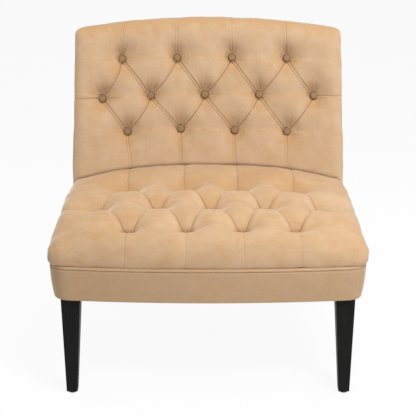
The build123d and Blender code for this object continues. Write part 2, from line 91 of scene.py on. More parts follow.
# Slow, seeded unevenness over a flat cloth, about -1 to 1
def unevenness(u, v, seed, shortest, longest, waves=9):
    draw = np.random.RandomState(seed)
    total = np.zeros_like(u)
    for step in range(waves):
        length = shortest * (longest / shortest) ** (step / (waves - 1))
        turn, phase = draw.uniform(0, 2 * math.pi, 2)
        total += np.sin(2 * math.pi * (u * math.cos(turn) + v * math.sin(turn)) / length + phase)
    return total / math.sqrt(waves)


def addMesh(name, points, faces):
    mesh = bpy.data.meshes.new(name)
    mesh.from_pydata([tuple(p) for p in points], [], [tuple(f) for f in faces])
    mesh.polygons.foreach_set("use_smooth", [True] * len(mesh.polygons))
    mesh.update()
    obj = bpy.data.objects.new(name, mesh)
    scene.collection.objects.link(obj)
    return obj


def gridQuads(n, m, start=0):
    index = start + np.arange(n * m).reshape(n, m)
    return np.stack([index[:-1, :-1], index[1:, :-1], index[1:, 1:], index[:-1, 1:]], -1).reshape(-1, 4)


def removeObject(obj):
    data = obj.data
    bpy.data.objects.remove(obj)
    bpy.data.meshes.remove(data)


def addValues(obj, name, values):
    layer = obj.data.attributes.new(name, "FLOAT", "POINT")
    layer.data.foreach_set("value", np.ascontiguousarray(values, dtype=np.float32))


# Turns an object with live modifiers into a plain mesh of the same name
def settle(obj):
    made = bpy.data.meshes.new_from_object(obj.evaluated_get(bpy.context.evaluated_depsgraph_get()))
    obj.modifiers.clear()
    obj.data = made
    made.name = obj.name
    return obj


def thicken(obj, thick):
    solid = obj.modifiers.new("thickness", "SOLIDIFY")
    solid.thickness = thick
    solid.offset = -1
    return settle(obj)


# shader parts
def feed(tree, socket, value):
    if isinstance(value, bpy.types.NodeSocket):
        tree.links.new(value, socket)
    else:
        socket.default_value = value


def addNode(tree, kind, inputs=None, **settings):
    node = tree.nodes.new(kind)
    for key, value in settings.items():
        setattr(node, key, value)
    for key, value in (inputs or {}).items():
        feed(tree, node.inputs[key], value)
    return node


def mixColours(tree, factor, first, second, blend="MIX"):
    inputs = {0: factor, 6: first, 7: second}
    return addNode(tree, "ShaderNodeMix", inputs, data_type="RGBA", blend_type=blend).outputs[2]


def doMath(tree, operation, first, second=0.0, clamp=False):
    node = addNode(tree, "ShaderNodeMath", {0: first, 1: second}, operation=operation, use_clamp=clamp)
    return node.outputs[0]


def addNoise(tree, vector, scale, detail, roughness=0.5, distortion=0.0):
    return addNode(tree, "ShaderNodeTexNoise", {
        "Vector": vector, "Scale": scale, "Detail": detail, "Roughness": roughness,
        "Distortion": distortion}).outputs[0]


# A shader group; each input is a start value, or the word Vector or Color
def newGroup(name, inputs):
    group = bpy.data.node_groups.new(name, "ShaderNodeTree")
    for label, value in inputs.items():
        kind = value if isinstance(value, str) else "Float"
        made = group.interface.new_socket(label, in_out="INPUT", socket_type="NodeSocket" + kind)
        if kind == "Float":
            made.default_value = value
    for label, kind in (("Color", "Color"), ("Roughness", "Float"), ("Height", "Float")):
        group.interface.new_socket(label, in_out="OUTPUT", socket_type="NodeSocket" + kind)
    return group, addNode(group, "NodeGroupInput").outputs, addNode(group, "NodeGroupOutput").inputs


def finishGroup(group, made, *sockets):
    for label, socket in zip(("Color", "Roughness", "Height"), sockets):
        group.links.new(socket, made[label])
    return group


# Noises as scale, detail, roughness and distortion
pileLook = {
    "patches": (24.0, 4.0, 0.6, 0.8), "strokes": (1.0, 4.0, 0.62, 0.5), "tips": (420.0, 3.0, 0.7),
    "strokeTurns": ((0.5, 0.9, 0.6), (-0.7, 0.4, -0.8)), "strokeStretch": (26.0, 95.0, 95.0),
    "strokeHeight": 0.8, "sway": 3.0, "tipLeast": 0.84, "tipShade": 0.32, "rough": 0.94, "smoother": 0.12,
}


# Velvet pile: pale where it is brushed towards the eye, warm where it leans away, by a nap value that also
# carries painted light; darkened towards the deep colour by the painted shade in folds and pits
def makePileGroup():
    group, given, made = newGroup("velvetPile", {
        "Vector": "Vector", "Nap": 0.5, "Fold": 0.0, "Pale": "Color", "Plain": "Color", "Warm": "Color",
        "Deep": "Color", "Brushed": 0.3})
    vector = given["Vector"]
    patches = addNoise(group, vector, *pileLook["patches"])
    strokes = []
    for turn in pileLook["strokeTurns"]:      # the hand brushes two ways
        stretch = {"Vector": vector, "Rotation": turn, "Scale": pileLook["strokeStretch"]}
        brushed = addNode(group, "ShaderNodeMapping", stretch)
        strokes.append(addNoise(group, brushed.outputs[0], *pileLook["strokes"]))
    stroke = doMath(group, "MULTIPLY", doMath(group, "ADD", *strokes), 0.5)
    tips = addNoise(group, vector, *pileLook["tips"])
    sway = doMath(group, "MULTIPLY", doMath(group, "ADD", patches, stroke), 0.5)
    sway = doMath(group, "MULTIPLY", doMath(group, "SUBTRACT", sway, 0.5), given["Brushed"])
    lean = doMath(group, "ADD", given["Nap"], doMath(group, "MULTIPLY", sway, pileLook["sway"]), clamp=True)
    twice = doMath(group, "MULTIPLY", lean, 2.0)
    tone = mixColours(group, doMath(group, "MINIMUM", twice, 1.0), given["Pale"], given["Plain"])
    tone = mixColours(group, doMath(group, "SUBTRACT", twice, 1.0, clamp=True), tone, given["Warm"])
    fine = doMath(group, "ADD", pileLook["tipLeast"], doMath(group, "MULTIPLY", tips, pileLook["tipShade"]))
    shade = addNode(group, "ShaderNodeCombineColor", {"Red": fine, "Green": fine, "Blue": fine})
    tone = mixColours(group, 1.0, tone, shade.outputs[0], "MULTIPLY")
    tone = mixColours(group, given["Fold"], tone, given["Deep"])
    smooth = doMath(group, "MULTIPLY", lean, pileLook["smoother"])
    rough = doMath(group, "SUBTRACT", pileLook["rough"], smooth)
    height = doMath(group, "ADD", tips, doMath(group, "MULTIPLY", stroke, pileLook["strokeHeight"]))
    return finishGroup(group, made, tone, rough, height)


# Streaks as detail, roughness and distortion; the specks' scale is this much finer
grainNoise = {
    "streak": (5.0, 0.6, 0.4), "speckDetail": 2.0, "speckFiner": 6.0, "tones": (0.34, 0.66),
    "glossVary": 0.3,
}


# Streaks and specks for woods, boards, metal, felt and cloth
def makeGrainGroup():
    group, given, made = newGroup("grainAndSpeck", {
        "Vector": "Vector", "Light": "Color", "Dark": "Color", "Scale": 60.0, "Speck": 0.3, "Gloss": 0.5})
    streak = addNoise(group, given["Vector"], given["Scale"], *grainNoise["streak"])
    finer = doMath(group, "MULTIPLY", given["Scale"], grainNoise["speckFiner"])
    speck = addNoise(group, given["Vector"], finer, grainNoise["speckDetail"])
    speck = doMath(group, "MULTIPLY", doMath(group, "SUBTRACT", speck, 0.5), given["Speck"])
    both = doMath(group, "ADD", streak, speck)
    low, high = grainNoise["tones"]
    level = addNode(group, "ShaderNodeMapRange", {"Value": both, "From Min": low, "From Max": high})
    tone = mixColours(group, level.outputs[0], given["Dark"], given["Light"])
    uneven = doMath(group, "MULTIPLY", doMath(group, "SUBTRACT", both, 0.5), grainNoise["glossVary"])
    rough = doMath(group, "ADD", given["Gloss"], uneven, clamp=True)
    return finishGroup(group, made, tone, rough, both)


pileGroup = makePileGroup()
grainGroup = makeGrainGroup()


def newMaterial(name):
    material = bpy.data.materials.new(name)
    material.use_nodes = True
    tree = material.node_tree
    return material, tree, tree.nodes["Principled BSDF"]


def finishWith(tree, shader, group, bump, distance):
    tree.links.new(group.outputs["Color"], shader.inputs["Base Color"])
    tree.links.new(group.outputs["Roughness"], shader.inputs["Roughness"])
    height = group.outputs["Height"]
    relief = addNode(tree, "ShaderNodeBump", {"Height": height, "Strength": bump, "Distance": distance})
    tree.links.new(relief.outputs[0], shader.inputs["Normal"])


# deep is the colour of the painted shade in folds, pits and joins; pale also shows the painted highlights
velvetLook = {
    "pale": (0.64, 0.452, 0.298, 1), "plain": (0.592, 0.398, 0.242, 1), "warm": (0.545, 0.33, 0.168, 1),
    "deep": (0.2, 0.112, 0.054, 1), "bump": 0.22, "bumpDistance": 0.0006,
}
velvetSockets = {"Sheen Weight": 0.55, "Sheen Roughness": 0.34, "Sheen Tint": (1.0, 0.93, 0.84, 1),
                 "Specular IOR Level": 0.12}


# The nap, the pile's lean with painted light, is one value, or read from the piece along with its painted
# shade
def makeVelvet(name, nap, brushed, tint=1.0, folds=False):
    material, tree, shader = newMaterial(name)
    place = addNode(tree, "ShaderNodeTexCoord")
    group = addNode(tree, "ShaderNodeGroup", node_tree=pileGroup)
    tree.links.new(place.outputs["Object"], group.inputs["Vector"])
    for label in ("Pale", "Plain", "Warm", "Deep"):
        red, green, blue, alpha = velvetLook[label.lower()]
        group.inputs[label].default_value = (red * tint, green * tint, blue * tint, alpha)
    group.inputs["Brushed"].default_value = brushed
    group.inputs["Nap"].default_value = 0.5 if nap is None else nap
    for label in (["Nap"] if nap is None else []) + (["Fold"] if folds else []):
        value = addNode(tree, "ShaderNodeAttribute", attribute_name=label.lower())
        tree.links.new(value.outputs["Fac"], group.inputs[label])
    finishWith(tree, shader, group, velvetLook["bump"], velvetLook["bumpDistance"])
    for socket, value in velvetSockets.items():
        shader.inputs[socket].default_value = value
    return material


plainGrain = {"stretch": (1.0, 1.0, 1.0), "metallic": 0.0, "specular": 0.5, "bumpDistance": 0.0005}
grainLooks = {
    "blackWood": {"light": (0.0105, 0.0095, 0.009, 1), "dark": (0.0055, 0.005, 0.005, 1), "scale": 42.0,
                  "stretch": (5.0, 5.0, 0.5), "gloss": 0.46, "speck": 0.2, "bump": 0.06, "specular": 0.12},
    "frameTimber": {"light": (0.64, 0.455, 0.27, 1), "dark": (0.43, 0.275, 0.145, 1), "scale": 36.0,
                    "stretch": (0.5, 3.0, 3.0), "gloss": 0.62, "speck": 0.4, "bump": 0.15},
    "plyBoard": {"light": (0.66, 0.5, 0.32, 1), "dark": (0.47, 0.32, 0.185, 1), "scale": 30.0,
                 "stretch": (0.6, 1.0, 3.0), "gloss": 0.6, "speck": 0.5, "bump": 0.15},
    "brownBoard": {"light": (0.26, 0.15, 0.08, 1), "dark": (0.16, 0.088, 0.046, 1), "scale": 180.0,
                   "gloss": 0.55, "speck": 0.8, "bump": 0.1},
    "plainSteel": {"light": (0.56, 0.57, 0.58, 1), "dark": (0.34, 0.345, 0.355, 1), "scale": 120.0,
                   "stretch": (1.0, 1.0, 0.4), "gloss": 0.34, "speck": 0.5, "bump": 0.05, "metallic": 1.0},
    "greyFelt": {"light": (0.33, 0.32, 0.305, 1), "dark": (0.17, 0.165, 0.16, 1), "scale": 210.0,
                 "gloss": 0.95, "speck": 0.9, "bump": 0.4},
    "blackCambric": {"light": (0.03, 0.03, 0.031, 1), "dark": (0.015, 0.015, 0.016, 1), "scale": 320.0,
                     "gloss": 0.86, "speck": 0.9, "bump": 0.35},
    "tuftTwine": {"light": (0.62, 0.54, 0.4, 1), "dark": (0.4, 0.33, 0.22, 1), "scale": 400.0,
                  "stretch": (1.0, 1.0, 0.3), "gloss": 0.85, "speck": 0.7, "bump": 0.4},
    "glideNylon": {"light": (0.012, 0.012, 0.012, 1), "dark": (0.007, 0.007, 0.007, 1), "scale": 300.0,
                   "gloss": 0.46, "speck": 0.5, "bump": 0.08},
}


def makeGrain(name):
    look = {**plainGrain, **grainLooks[name]}
    material, tree, shader = newMaterial(name)
    place = addNode(tree, "ShaderNodeTexCoord")
    stretch = {"Vector": place.outputs["Object"], "Scale": look["stretch"]}
    stretched = addNode(tree, "ShaderNodeMapping", stretch)
    group = addNode(tree, "ShaderNodeGroup", node_tree=grainGroup)
    tree.links.new(stretched.outputs[0], group.inputs["Vector"])
    for label in ("Light", "Dark", "Scale", "Speck", "Gloss"):
        group.inputs[label].default_value = look[label.lower()]
    finishWith(tree, shader, group, look["bump"], look["bumpDistance"])
    shader.inputs["Metallic"].default_value = look["metallic"]
    shader.inputs["Specular IOR Level"].default_value = look["specular"]
    return material


# nap with its painted light, brushed marks and tint
padVelvet = makeVelvet("padVelvet", None, 0.5, folds=True)
# the apron band's lower tint is partly painted shade under the seat's roll and partly its pile
bandVelvet = makeVelvet("bandVelvet", 0.62, 0.35, 0.885)
weltVelvet = makeVelvet("weltVelvet", 0.62, 0.3, 1.0)
panelVelvet = makeVelvet("panelVelvet", 0.45, 0.6, 0.97)
buttonVelvet = makeVelvet("buttonVelvet", 1.0, 0.15, 0.6, folds=True)
looks = {name: makeGrain(name) for name in grainLooks}

# CAD nodes that keep their own shape, by finish
corners = ("front_left", "front_right", "rear_left", "rear_right")
backParts = ("left_post", "right_post", "left_stile", "right_stile", "crest_rail", "bottom_rail", "dowels")
keptNodes = {
    "blackWood": [corner + "_leg" for corner in corners],
    "frameTimber": [corner + "_block" for corner in corners] + ["back_" + part for part in backParts]
    + ["seat_front_rail", "seat_left_rail", "seat_right_rail", "seat_rear_rail", "rail_dowels"],
    "plyBoard": ["back_board"],
    "brownBoard": ["outside_board"],
    "plainSteel": ["spring_%d" % (k + 1) for k in range(5)]
    + ["leg_bolts", "leg_inserts", "block_screws", "spring_clips", "spring_tie_rods", "seat_tie_washers",
       "back_bolts", "back_inserts", "back_tie_washers"],
    "greyFelt": ["seat_felt"],
    "tuftTwine": ["seat_ties", "back_ties"],
    "glideNylon": ["leg_glides"],
}
for finish, nodes in keptNodes.items():
    for node in nodes:
        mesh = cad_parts[node].data
        mesh.materials.clear()
        mesh.materials.append(looks[finish])
print("finishes made,", sum(len(n) for n in keptNodes.values()), "CAD nodes dressed")


# tufted pads
clothGrid = {"pleat": 50, "side": 44, "strip": 60, "pull": 0.62, "sidePower": 1.5, "stripPower": 1.6}
pleatEnd = {"ramp": 0.05, "turn": 0.45}      # parts of a pleat's length


def graded():      # 0 to 1, closer together at both ends
    s = np.linspace(0, 1, clothGrid["pleat"] + 1)
    return s - clothGrid["pull"] * np.sin(2 * math.pi * s) / (2 * math.pi)


def gradedFrom(count, power):      # 0 to 1, closer together at 0
    return np.linspace(0, 1, count + 1) ** power


# How a pleat runs out sideways from a wide tuft before it turns to the next one
def leaveTuft(t):
    return smoothStep(t / pleatEnd["ramp"]) * (1 - ramp(t, pleatEnd["ramp"], pleatEnd["turn"]))


# Points along one pleat of the flat cloth, t from 0 to 1; slot holds how far it runs out at each end
def pleatAt(pleat, t):
    (au, av), (bu, bv) = pleat["a"], pleat["b"]
    first, last = pleat["slot"]
    lead = np.sign(bu - au) * (first * leaveTuft(t) - last * leaveTuft(1 - t))
    return au + (bu - au) * t + pleat["bow"] * 4 * t * (1 - t) + lead, av + (bv - av) * t


# Pleats run from tuft to tuft, from the outer rows to the edges and from the end tufts to the sides
def listPleats(rows, edges, pad):
    low, mid, high = rows
    sideEdge, lowEdge, highEdge = edges
    lap, line = pad["edgeLap"], pad["edgeLine"]
    tufts, runs = {}, []

    def addRun(a, b, lapped, lined):
        runs.append({"a": a, "b": b, "slot": (0.0, 0.0), "bow": 0.0, "lap": lapped, "line": lined})

    for level, outer, edge in (("low", low, lowEdge), ("high", high, highEdge)):
        for i in range(4):
            for place, (a, b) in enumerate(((mid[i], outer[i]), (outer[i], mid[i + 1]))):
                bow = pad["bow"] if (b[0] - a[0]) * (b[1] - a[1]) > 0 else 0.0
                slot = pad["slot"] if a[1] < b[1] else pad["slot"][::-1]
                tufts[level, i, place] = {"a": a, "b": b, "slot": slot, "bow": bow, "lap": 1.0, "line": 1.0}
            lean = pad["footLean"][i] if level == "low" else 0.0
            addRun(outer[i], (outer[i][0] * pad["fan"] + lean, edge), lap[level], line[level])
    for end, edge, fan in zip((mid[0], mid[4]), (-sideEdge, sideEdge), pad["sideFan"]):
        for rise, share in fan:
            addRun(end, (edge, end[1] + rise), share * lap["side"], share * line["side"])
    for row, (long, lapped, lined) in zip(rows, pad["sideCreases"]):
        for tu, tv in row:
            addRun((tu, tv), (tu + long, tv), lapped, lined)
    return tufts, runs


# A flat cloth whose edges of cells lie on the pleats, for rows of 4, 5 and 4 tufts
def layTuftedCloth(rows, tufts, edges, pad):
    low, mid, high = [np.array(row) for row in rows]
    sideEdge, lowEdge, highEdge = edges
    diagonal = graded()
    side = gradedFrom(clothGrid["side"], clothGrid["sidePower"])
    across = gradedFrom(clothGrid["strip"], clothGrid["stripPower"])
    points, faces = [], []
    start = 0

    def addPatch(u, v, flip):
        nonlocal start
        quads = gridQuads(*u.shape, start)
        faces.append(quads[:, ::-1] if flip else quads)
        points.append(np.stack([u.ravel(), v.ravel()], -1))
        start += u.size

    for level, edge, flip in (("high", highEdge, False), ("low", lowEdge, True)):
        path = [mid[0] + (np.array([-sideEdge, mid[0][1]]) - mid[0]) * t for t in side[::-1]]
        for i in range(4):
            for place in (0, 1):
                path += list(np.stack(pleatAt(tufts[level, i, place], diagonal[1:]), -1))
        path += [mid[4] + (np.array([sideEdge, mid[4][1]]) - mid[4]) * t for t in side[1:]]
        path = np.array(path)
        outerU = abs(low[3][0])
        spread = (pad["fan"] - 1) * np.clip((sideEdge - np.abs(path[:, :1])) / (sideEdge - outerU), 0, 1)
        u = path[:, :1] * (1 + spread * across[None, :])
        v = path[:, 1:] + (edge - path[:, 1:]) * across[None, :]
        addPatch(u, v, flip)
    p, q = np.meshgrid(diagonal, diagonal, indexing="ij")
    for i in range(4):
        sides = [np.stack(pleatAt(tufts[level, i, place], diagonal), -1)
                 for level, place in (("high", 0), ("low", 1), ("low", 0), ("high", 1))]
        a, b, c, d = mid[i], high[i], mid[i + 1], low[i]
        grid = []
        for k in (0, 1):
            upper, lower, left, right = [line[:, k] for line in sides]
            ruled = (1 - q) * upper[:, None] + q * lower[:, None]
            ruled = ruled + (1 - p) * left[None, :] + p * right[None, :]
            meets = (1 - p) * (1 - q) * a[k] + p * (1 - q) * b[k] + p * q * c[k] + (1 - p) * q * d[k]
            grid.append(ruled - meets)
        addPatch(grid[0], grid[1], True)
    points = np.concatenate(points)
    faces = np.concatenate(faces)
    keys = np.round(points * 1e6).astype(np.int64)
    _, first, index = np.unique(keys, axis=0, return_index=True, return_inverse=True)
    return points[first], index.reshape(-1)[faces]


# How deep each tuft draws the cloth in: a broad bowl with a pit in it
def tuftDepth(u, v, rows, pad):
    total = np.zeros_like(u)
    for tu, tv in (p for row in rows for p in row):
        away = np.hypot(np.maximum(np.abs(u - tu) - pad["slot"][0], 0), v - tv)
        r = np.maximum(away - pad["tuftFlat"], 0)
        reach = np.where(v > tv, pad["tuftReach"][1], pad["tuftReach"][0])
        total += (pad["tuftDeep"] - pad["bowl"]) * (1 + (r / reach) ** 2) ** -pad["tuftFall"]
        total += pad["bowl"] * np.exp(-(r / pad["bowlWide"]) ** 2)
    return np.minimum(total, pad["tuftDeep"])


# Distance from a pleat, signed across it, and the place along it
def acrossPleat(u, v, pleat):
    (au, av), (bu, bv) = pleat["a"], pleat["b"]
    bent = pleat["bow"] or any(pleat["slot"])
    steps = graded() if bent else np.array([0.0, 1.0])
    lineU, lineV = pleatAt(pleat, steps)
    gap, t = np.full_like(u, np.inf), np.zeros_like(u)
    for k in range(len(steps) - 1):
        du, dv = lineU[k + 1] - lineU[k], lineV[k + 1] - lineV[k]
        part = np.clip(((u - lineU[k]) * du + (v - lineV[k]) * dv) / (du * du + dv * dv + 1e-15), 0, 1)
        away = np.hypot(u - lineU[k] - part * du, v - lineV[k] - part * dv)
        closer = away < gap
        gap = np.where(closer, away, gap)
        t = np.where(closer, steps[k] + part * (steps[k + 1] - steps[k]), t)
    if abs(bv - av) < 0.5 * abs(bu - au):      # to the side
        side = (v - av - (bv - av) * t) * np.sign(bu - au)
    else:
        side = u - np.interp(v, lineV, lineU) if bv > av else u - np.interp(v, lineV[::-1], lineU[::-1])
    return np.sign(side) * gap, gap, t


def between(least, ends, power):      # least in the middle of a pleat, 1 at its ends
    return least + (1 - least) * ends ** power


# How far the cloth is drawn in, in metres; fine adds the sharp line and the little tuck along each pleat
def drawnIn(u, v, rows, tufts, runs, pad, fine):
    melt = pad["melt"]
    valley, line, tuck, crushAndHighlight = [np.zeros_like(u) for _ in range(4)]
    for toEdge, pleat in [(False, p) for p in tufts.values()] + [(True, p) for p in runs]:
        side, gap, t = acrossPleat(u, v, pleat)
        ends = 1 - t if toEdge else np.abs(2 * t - 1)
        du, dv = pleat["b"][0] - pleat["a"][0], pleat["b"][1] - pleat["a"][1]
        lapped = side * np.sign(du * dv) > 0
        width = pad["runWide"] if toEdge else np.where(lapped, *pad["valleyWide"])
        least = pad["runMid"] if toEdge else pad["valleyMid"]
        deep = pad["valley"] * pleat["lap"] * between(least, ends, pad["valleyEase"])
        valley = valley + (deep * np.exp(-(gap / width) ** pad["valleyPower"])) ** melt
        if toEdge:
            strength = pleat["line"] * (1 - pad["runFade"] * t)
        else:
            toRear = t if dv > 0 else 1 - t
            strength = pleat["line"] * between(pad["lineMid"], ends, pad["lineEase"])
            strength = strength * (1 - pad["lineFade"] * toRear)
            # painted highlight beside the lapped side of each pleat, partly crushed pile
            beside = np.exp(-((gap - pad["highlightOff"]) / pad["highlightWide"]) ** 2)
            crushAndHighlight = np.maximum(crushAndHighlight, lapped * between(pad["highlightMid"], ends, 1) * beside)
        line = np.maximum(line, strength * np.exp(-(gap / pad["lineWide"]) ** 2))
        ridge = np.zeros_like(u)
        for far, share in pad["tucks"]:
            ridge = ridge + share * np.exp(-((side + far * pad["tuckOff"]) / pad["tuckWide"]) ** 2)
        ridge = strength * ridge * ((t > 0) & (t < 1))
        tuck = np.where(np.abs(ridge) > np.abs(tuck), ridge, tuck)
    for row in rows:
        for (au, av), (bu, bv) in zip(row, row[1:]):
            t = np.clip((u - au) / (bu - au), 0, 1)
            deep = pad["crossDeep"] * between(pad["crossMid"], np.abs(2 * t - 1), 2)
            gap = np.hypot(v - (av + (bv - av) * t), u - au - t * (bu - au))
            valley = valley + (deep * np.exp(-(gap / pad["crossWide"]) ** 2)) ** melt
    blend = pad["blend"]
    drawn = (tuftDepth(u, v, rows, pad) ** blend + valley ** (blend / melt)) ** (1 / blend)
    drawn = drawn / (1 + (drawn / pad["tuftDeep"]) ** melt) ** (1 / melt)
    if fine:
        drawn = drawn + pad["lineDeep"] * line - pad["tuck"] * tuck
    return drawn, line, crushAndHighlight


# Short gathers that fan out above the tufts
def gathers(u, v, rows, pad):
    draw = np.random.RandomState(pad["seed"])
    total = np.zeros_like(u)
    for count, row in zip(pad["gathers"], rows):
        for tu, tv in row:
            r = np.hypot(u - tu, v - tv)
            angle = np.arctan2(v - tv, u - tu)
            begin = ramp(r, pad["tuftFlat"], pad["gatherBegin"])
            for number in range(count):
                share = (number + draw.uniform(*pad["gatherPlace"])) / count
                at = math.pi / 2 + pad["gatherSpread"] * (2 * share - 1)
                long = pad["gatherLong"] * draw.uniform(*pad["gatherVary"])
                turn = (angle - at + math.pi) % (2 * math.pi) - math.pi
                full = pad["gatherFull"] * long
                fade = begin * (1 - ramp(r, full, (1 - pad["gatherFull"]) * long))
                crease = np.exp(-(turn * r / pad["gatherWide"]) ** 2) * (np.abs(turn) < pad["gatherTurn"])
                total += fade * crease * draw.uniform(*pad["gatherStrong"])
    return total * pad["gatherDeep"]


def surfaceNormals(surface, u, v):
    h = 0.0004
    alongU = surface(u + h, v) - surface(u - h, v)
    alongV = surface(u, v + h) - surface(u, v - h)
    normal = np.cross(alongU, alongV)
    return normal / np.maximum(np.linalg.norm(normal, axis=1, keepdims=True), 1e-12)


clothRun = {
    "quality": 6, "mass": 0.25, "tension_stiffness": 18, "compression_stiffness": 18, "shear_stiffness": 8,
    "bending_stiffness": 4, "vertex_group_mass": "held", "use_pressure": True,
}
clothFrames = 20


# Blender's Cloth on a coarse copy, held at tufts and edges and blown up a little; gives its moves as a grid
def swellCloth(name, surface, rows, tufts, runs, pad, edges):
    step = pad["clothStep"]
    sideEdge, lowEdge, highEdge = edges
    us = np.linspace(-sideEdge, sideEdge, int(2 * sideEdge / step) + 1)
    vs = np.linspace(lowEdge, highEdge, int((highEdge - lowEdge) / step) + 1)
    gridU, gridV = np.meshgrid(us, vs, indexing="ij")
    u, v = gridU.ravel(), gridV.ravel()
    drawn, _, _ = drawnIn(u, v, rows, tufts, runs, pad, False)
    start = surface(u, v) - surfaceNormals(surface, u, v) * drawn[:, None]
    cloth = addMesh(name + "Cloth", start, gridQuads(*gridU.shape))
    near = np.min([np.hypot(u - tu, v - tv) for row in rows for tu, tv in row], axis=0)
    tuftHeld = pad["slot"][0] + pad["tuftFlat"] + pad["heldRound"] * step
    hold = np.maximum(near < tuftHeld, pad["held"](u, v))
    pins = cloth.vertex_groups.new(name="held")
    pins.add([int(i) for i in np.nonzero(hold)[0]], 1.0, "ADD")
    modifier = cloth.modifiers.new("swell", "CLOTH")
    settings = modifier.settings
    for key, value in clothRun.items():
        setattr(settings, key, value)
    settings.shrink_min = -pad["slack"]
    settings.uniform_pressure_force = pad["pressure"]
    settings.effector_weights.gravity = 0
    modifier.collision_settings.use_collision = False
    modifier.point_cache.frame_end = clothFrames
    for number in range(clothFrames):
        scene.frame_set(number + 1)
    shape = cloth.evaluated_get(bpy.context.evaluated_depsgraph_get()).to_mesh()
    end = np.empty(len(start) * 3)
    shape.vertices.foreach_get("co", end)
    moved = end.reshape(-1, 3) - start
    size = np.linalg.norm(moved, axis=1, keepdims=True)
    cap = pad["clothCap"]
    moved = moved * (cap * np.tanh(size / cap) / np.maximum(size, 1e-9))
    moved = moved.reshape(*gridU.shape, 3)
    for _ in range(2):      # eases the coarse grid before the fine mesh reads it
        calm = np.pad(moved, ((1, 1), (1, 1), (0, 0)), "edge")
        moved = (2 * moved + calm[:-2, 1:-1] + calm[2:, 1:-1] + calm[1:-1, :-2] + calm[1:-1, 2:]) / 6
    removeObject(cloth)
    scene.frame_set(1)
    print(name, "cloth moved %.1f mm at most, %.1f mm on average" % (size.max() * 1000, size.mean() * 1000))
    return us, vs, moved


def readMoves(moves, u, v):
    us, vs, grid = moves
    fu = np.clip((u - us[0]) / (us[1] - us[0]), 0, len(us) - 1.001)
    fv = np.clip((v - vs[0]) / (vs[1] - vs[0]), 0, len(vs) - 1.001)
    i, j = fu.astype(int), fv.astype(int)
    a, b = smoothStep(fu - i)[:, None], smoothStep(fv - j)[:, None]
    low = grid[i, j] * (1 - a) + grid[i + 1, j] * a
    high = grid[i, j + 1] * (1 - a) + grid[i + 1, j + 1] * a
    return low * (1 - b) + high * b


def makePad(name, surface, rows, pad, edges):
    tufts, runs = listPleats(rows, edges, pad)
    flat, faces = layTuftedCloth(rows, tufts, edges, pad)
    u, v = flat[:, 0], flat[:, 1]
    drawn, line, crushAndHighlight = drawnIn(u, v, rows, tufts, runs, pad, True)
    gathered = gathers(u, v, rows, pad)
    drawn = drawn + gathered
    drawn = drawn - pad["uneven"] * unevenness(u, v, pad["seed"] + 7, *pad["unevenSpan"])
    if "edgeWork" in pad:
        drawn = drawn + pad["edgeWork"](u, v)
    points = surface(u, v) - surfaceNormals(surface, u, v) * drawn[:, None]
    points = points + readMoves(swellCloth(name, surface, rows, tufts, runs, pad, edges), u, v)
    obj = addMesh(name, points, faces)
    normals = np.empty(len(points) * 3)
    obj.data.vertices.foreach_get("normal", normals)
    # painted light in the nap: warmer where the surface faces up, paler where it faces down
    nap = pad["napBase"] + pad["facingLight"] * (normals[2::3] - pad["napLevel"]) - pad["crushAndHighlight"] * crushAndHighlight
    nap = nap + pad["napSway"] * unevenness(u, v, pad["seed"] + 11, *pad["swaySpan"])
    for pu, pv, wide, change in pad["patches"]:      # patches that warm or pale the nap, listed one by one
        nap = nap + change * spot(u, v, pu, pv, wide, wide)
    shade = np.zeros_like(u)
    # round each tuft: a warmer nap below it, painted warm shade round it and painted shade above it
    for row, warm, dark in zip(rows, pad["warmShadeRound"], pad["shadeAbove"]):
        for tu, tv in row:
            nap = nap + pad["napUnder"] * spot(u, v, tu, tv + pad["underOff"], *pad["underWide"])
            nap = nap + warm * spot(u, v, tu, tv + pad["warmOff"], pad["warmWide"], pad["warmWide"])
            shade = shade + dark * spot(u, v, tu, tv + pad["shadeOff"], *pad["shadeWide"])
    # painted highlight bands along the rows between the tufts, broken up
    broken = 1 - pad["broken"] + pad["broken"] * unevenness(u, v, pad["seed"] + 17, *pad["brokenSpan"])
    for row in rows:
        for (au, av), (bu, bv) in zip(row, row[1:]):
            t = (u - au) / (bu - au)
            inside = smoothStep(t / pad["bandEnds"]) * smoothStep((1 - t) / pad["bandEnds"])
            for rise, wide, strength in pad["highlightBands"]:
                band = np.exp(-((v - av - t * (bv - av) - rise) / wide) ** 2)
                nap = nap - strength * inside * broken * band
    # painted shade: darker along the pleat lines, in the tuft pits, in the gathers, above the tufts and
    # where the pads meet
    pit = np.clip(tuftDepth(u, v, rows, pad) / pad["tuftDeep"], 0, 1)
    pit = pad["pitShade"] * ramp(pit, pad["pitFrom"], 1 - pad["pitFrom"])
    fold = np.maximum(pad["lineShade"] * line ** pad["lineShadePower"], pit)
    fold = np.maximum(fold, shade + pad["gatherShade"] * gathered / pad["gatherDeep"])
    fold = np.maximum(fold, pad["mostShade"] * pad["contact"](points))
    addValues(obj, "nap", np.clip(nap, 0, 1))
    addValues(obj, "fold", np.clip(fold, 0, pad["mostShade"]))
    obj.data.materials.append(padVelvet)
    return obj


